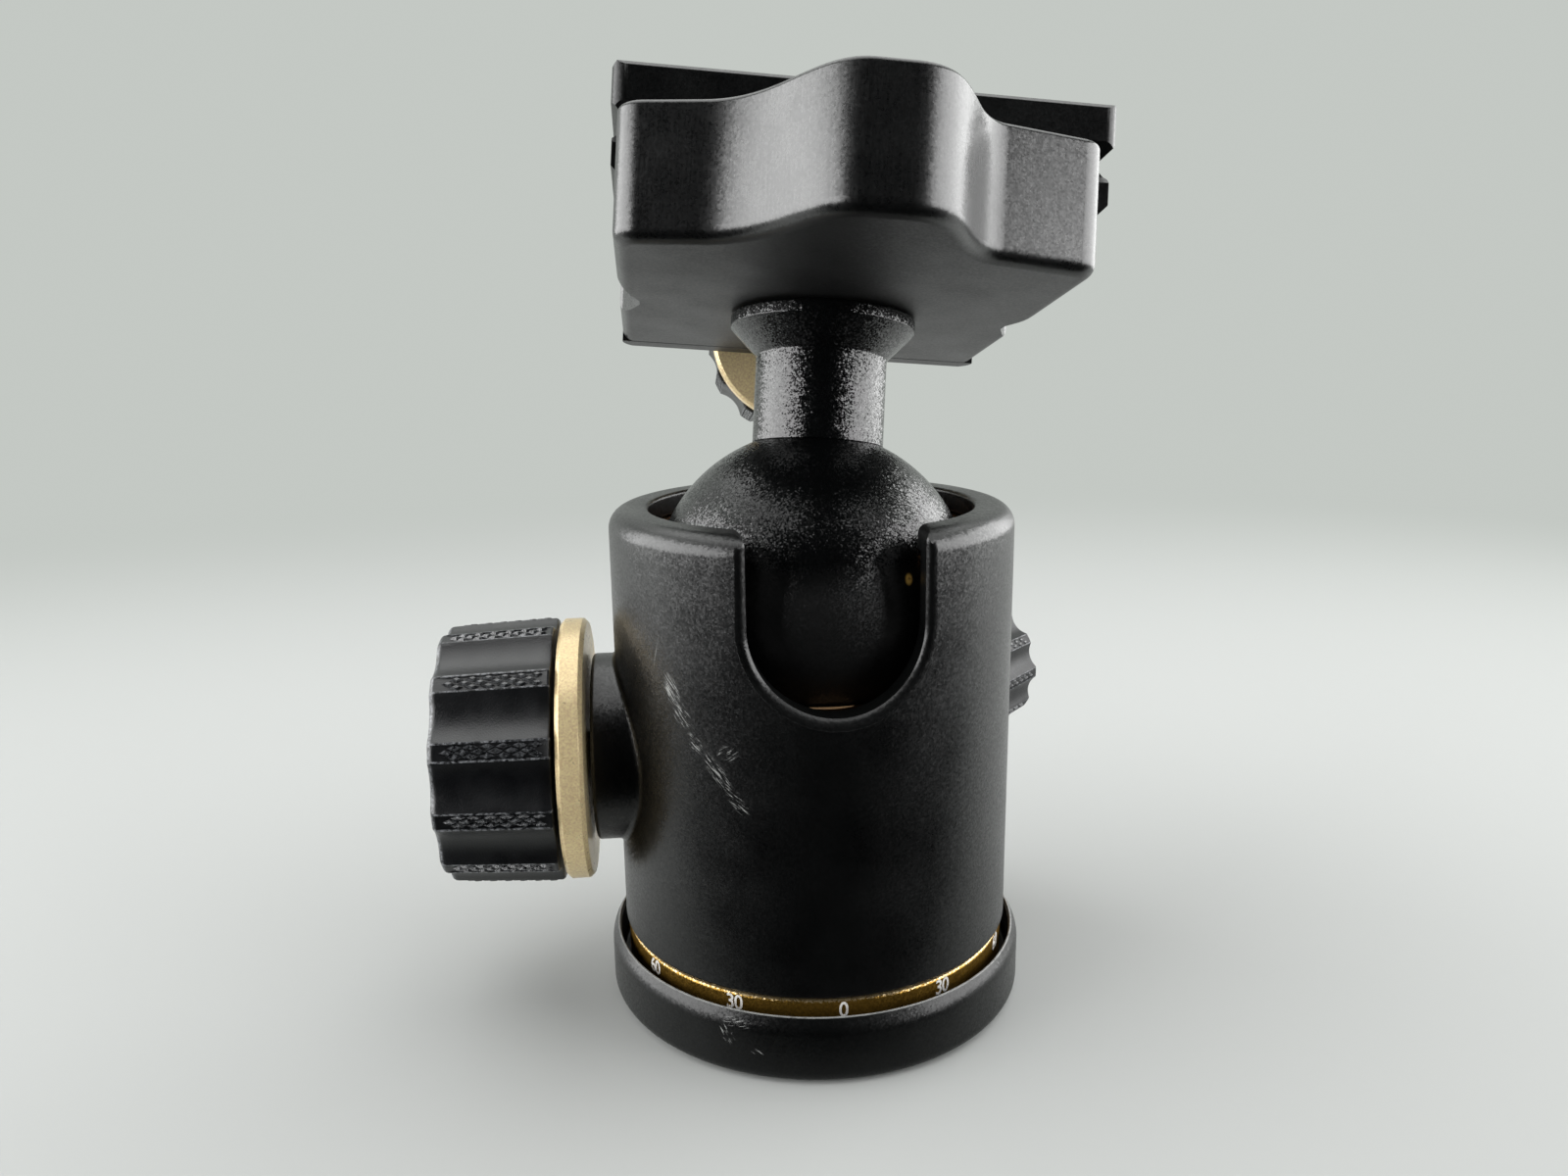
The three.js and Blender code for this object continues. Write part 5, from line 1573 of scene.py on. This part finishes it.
def makeFloor():
    half = stage["size"] / 2
    corners = [(x, y, 0) for x, y in rectangle(-half, -half, half, half)]
    floor = meshObject("floor", corners, [(0, 1, 2, 3)])
    material, tree, shader = newMaterial("floorPale", stage["floor"], stage["floorRough"])
    # near the object the floor takes light and shadow, and further off it turns into the backdrop
    place = shaderNode(tree, "ShaderNodeTexCoord").outputs["Object"]
    far = shaderNode(tree, "ShaderNodeMapRange", {
        "Value": vectorMaths(tree, "LENGTH", place), "From Min": stage["blendFrom"],
        "From Max": stage["blendTo"]},
        interpolation_type="SMOOTHSTEP").outputs["Result"]
    ray = shaderNode(tree, "ShaderNodeLightPath").outputs
    # painted shade: in the gloss of the object the floor in front of it takes the dim room's colour, for the
    # shadow that the camera and the one holding it cast there
    front = ranged(tree, partOf(tree, place, "Y"), stage["shadeFrom"], stage["shadeTo"])
    mirrored = maths(tree, "MAXIMUM", ray["Is Glossy Ray"], ray["Is Transmission Ray"])
    frontShadeSeen = maths(tree, "MULTIPLY", front, mirrored)
    farSeen = maths(tree, "MULTIPLY", far, maths(tree, "MAXIMUM", ray["Is Camera Ray"], mirrored))
    shade = mixed(tree, frontShadeSeen, stage["backdrop"], stage["room"])
    glow = shaderNode(tree, "ShaderNodeEmission", {"Color": shade, "Strength": 1.0})
    blend = shaderNode(tree, "ShaderNodeMixShader", {0: maths(tree, "MAXIMUM", farSeen, frontShadeSeen)})
    tree.links.new(shader.outputs["BSDF"], blend.inputs[1])
    tree.links.new(glow.outputs["Emission"], blend.inputs[2])
    tree.links.new(blend.outputs["Shader"], tree.nodes["Material Output"].inputs["Surface"])
    floor.data.materials.append(material)


def makeLamps():
    for lamp in lamps:
        target = Vector((0, 0, lamp["height"]))
        azimuth, elevation = math.radians(lamp["azimuth"]), math.radians(lamp["elevation"])
        out = Vector((math.sin(azimuth) * math.cos(elevation), -math.cos(azimuth) * math.cos(elevation),
                      math.sin(elevation)))
        data = bpy.data.lights.new(lamp["name"], "AREA")
        data.shape = "RECTANGLE"
        data.size, data.size_y = lamp["size"]
        data.energy = lamp["power"]
        light = added(lamp["name"], data)
        light.location = target + out * lamp["distance"]
        light.rotation_mode = "QUATERNION"
        light.rotation_quaternion = (-out).to_track_quat("-Z", "Y")
        light.visible_camera = False
    world = bpy.data.worlds.new("studio")
    world.use_nodes = True
    tree = world.node_tree
    # the camera sees the backdrop everywhere, and gloss sees it behind the object, with a dim room in front
    ray = shaderNode(tree, "ShaderNodeLightPath").outputs
    direction = shaderNode(tree, "ShaderNodeTexCoord").outputs["Generated"]
    behind = ranged(tree, partOf(tree, direction, "Y"), stage["roomFrom"], stage["roomTo"])
    studio = mixed(tree, behind, stage["room"], stage["backdrop"])
    lit = mixed(tree, ray["Is Glossy Ray"], stage["fill"], studio)
    shown = mixed(tree, ray["Is Camera Ray"], lit, stage["backdrop"])
    tree.links.new(shown, tree.nodes["Background"].inputs["Color"])
    bpy.context.scene.world = world


def makeCamera():
    data = bpy.data.cameras.new("photoCamera")
    data.sensor_width = view["sensor"]
    data.lens = view["lens"]
    data.clip_start = 0.005
    camera = added("photoCamera", data)
    forward = Vector(view["forward"]).normalized()
    right = Vector(view["right"]).normalized()
    above = right.cross(forward)
    turn = Matrix((right, above, -forward)).transposed().to_4x4()
    camera.matrix_world = Matrix.Translation(view["position"]) @ turn
    bpy.context.scene.camera = camera
    bpy.context.scene.view_settings.view_transform = "Standard"


makeFloor()
makeLamps()
makeCamera()
print("stage made")
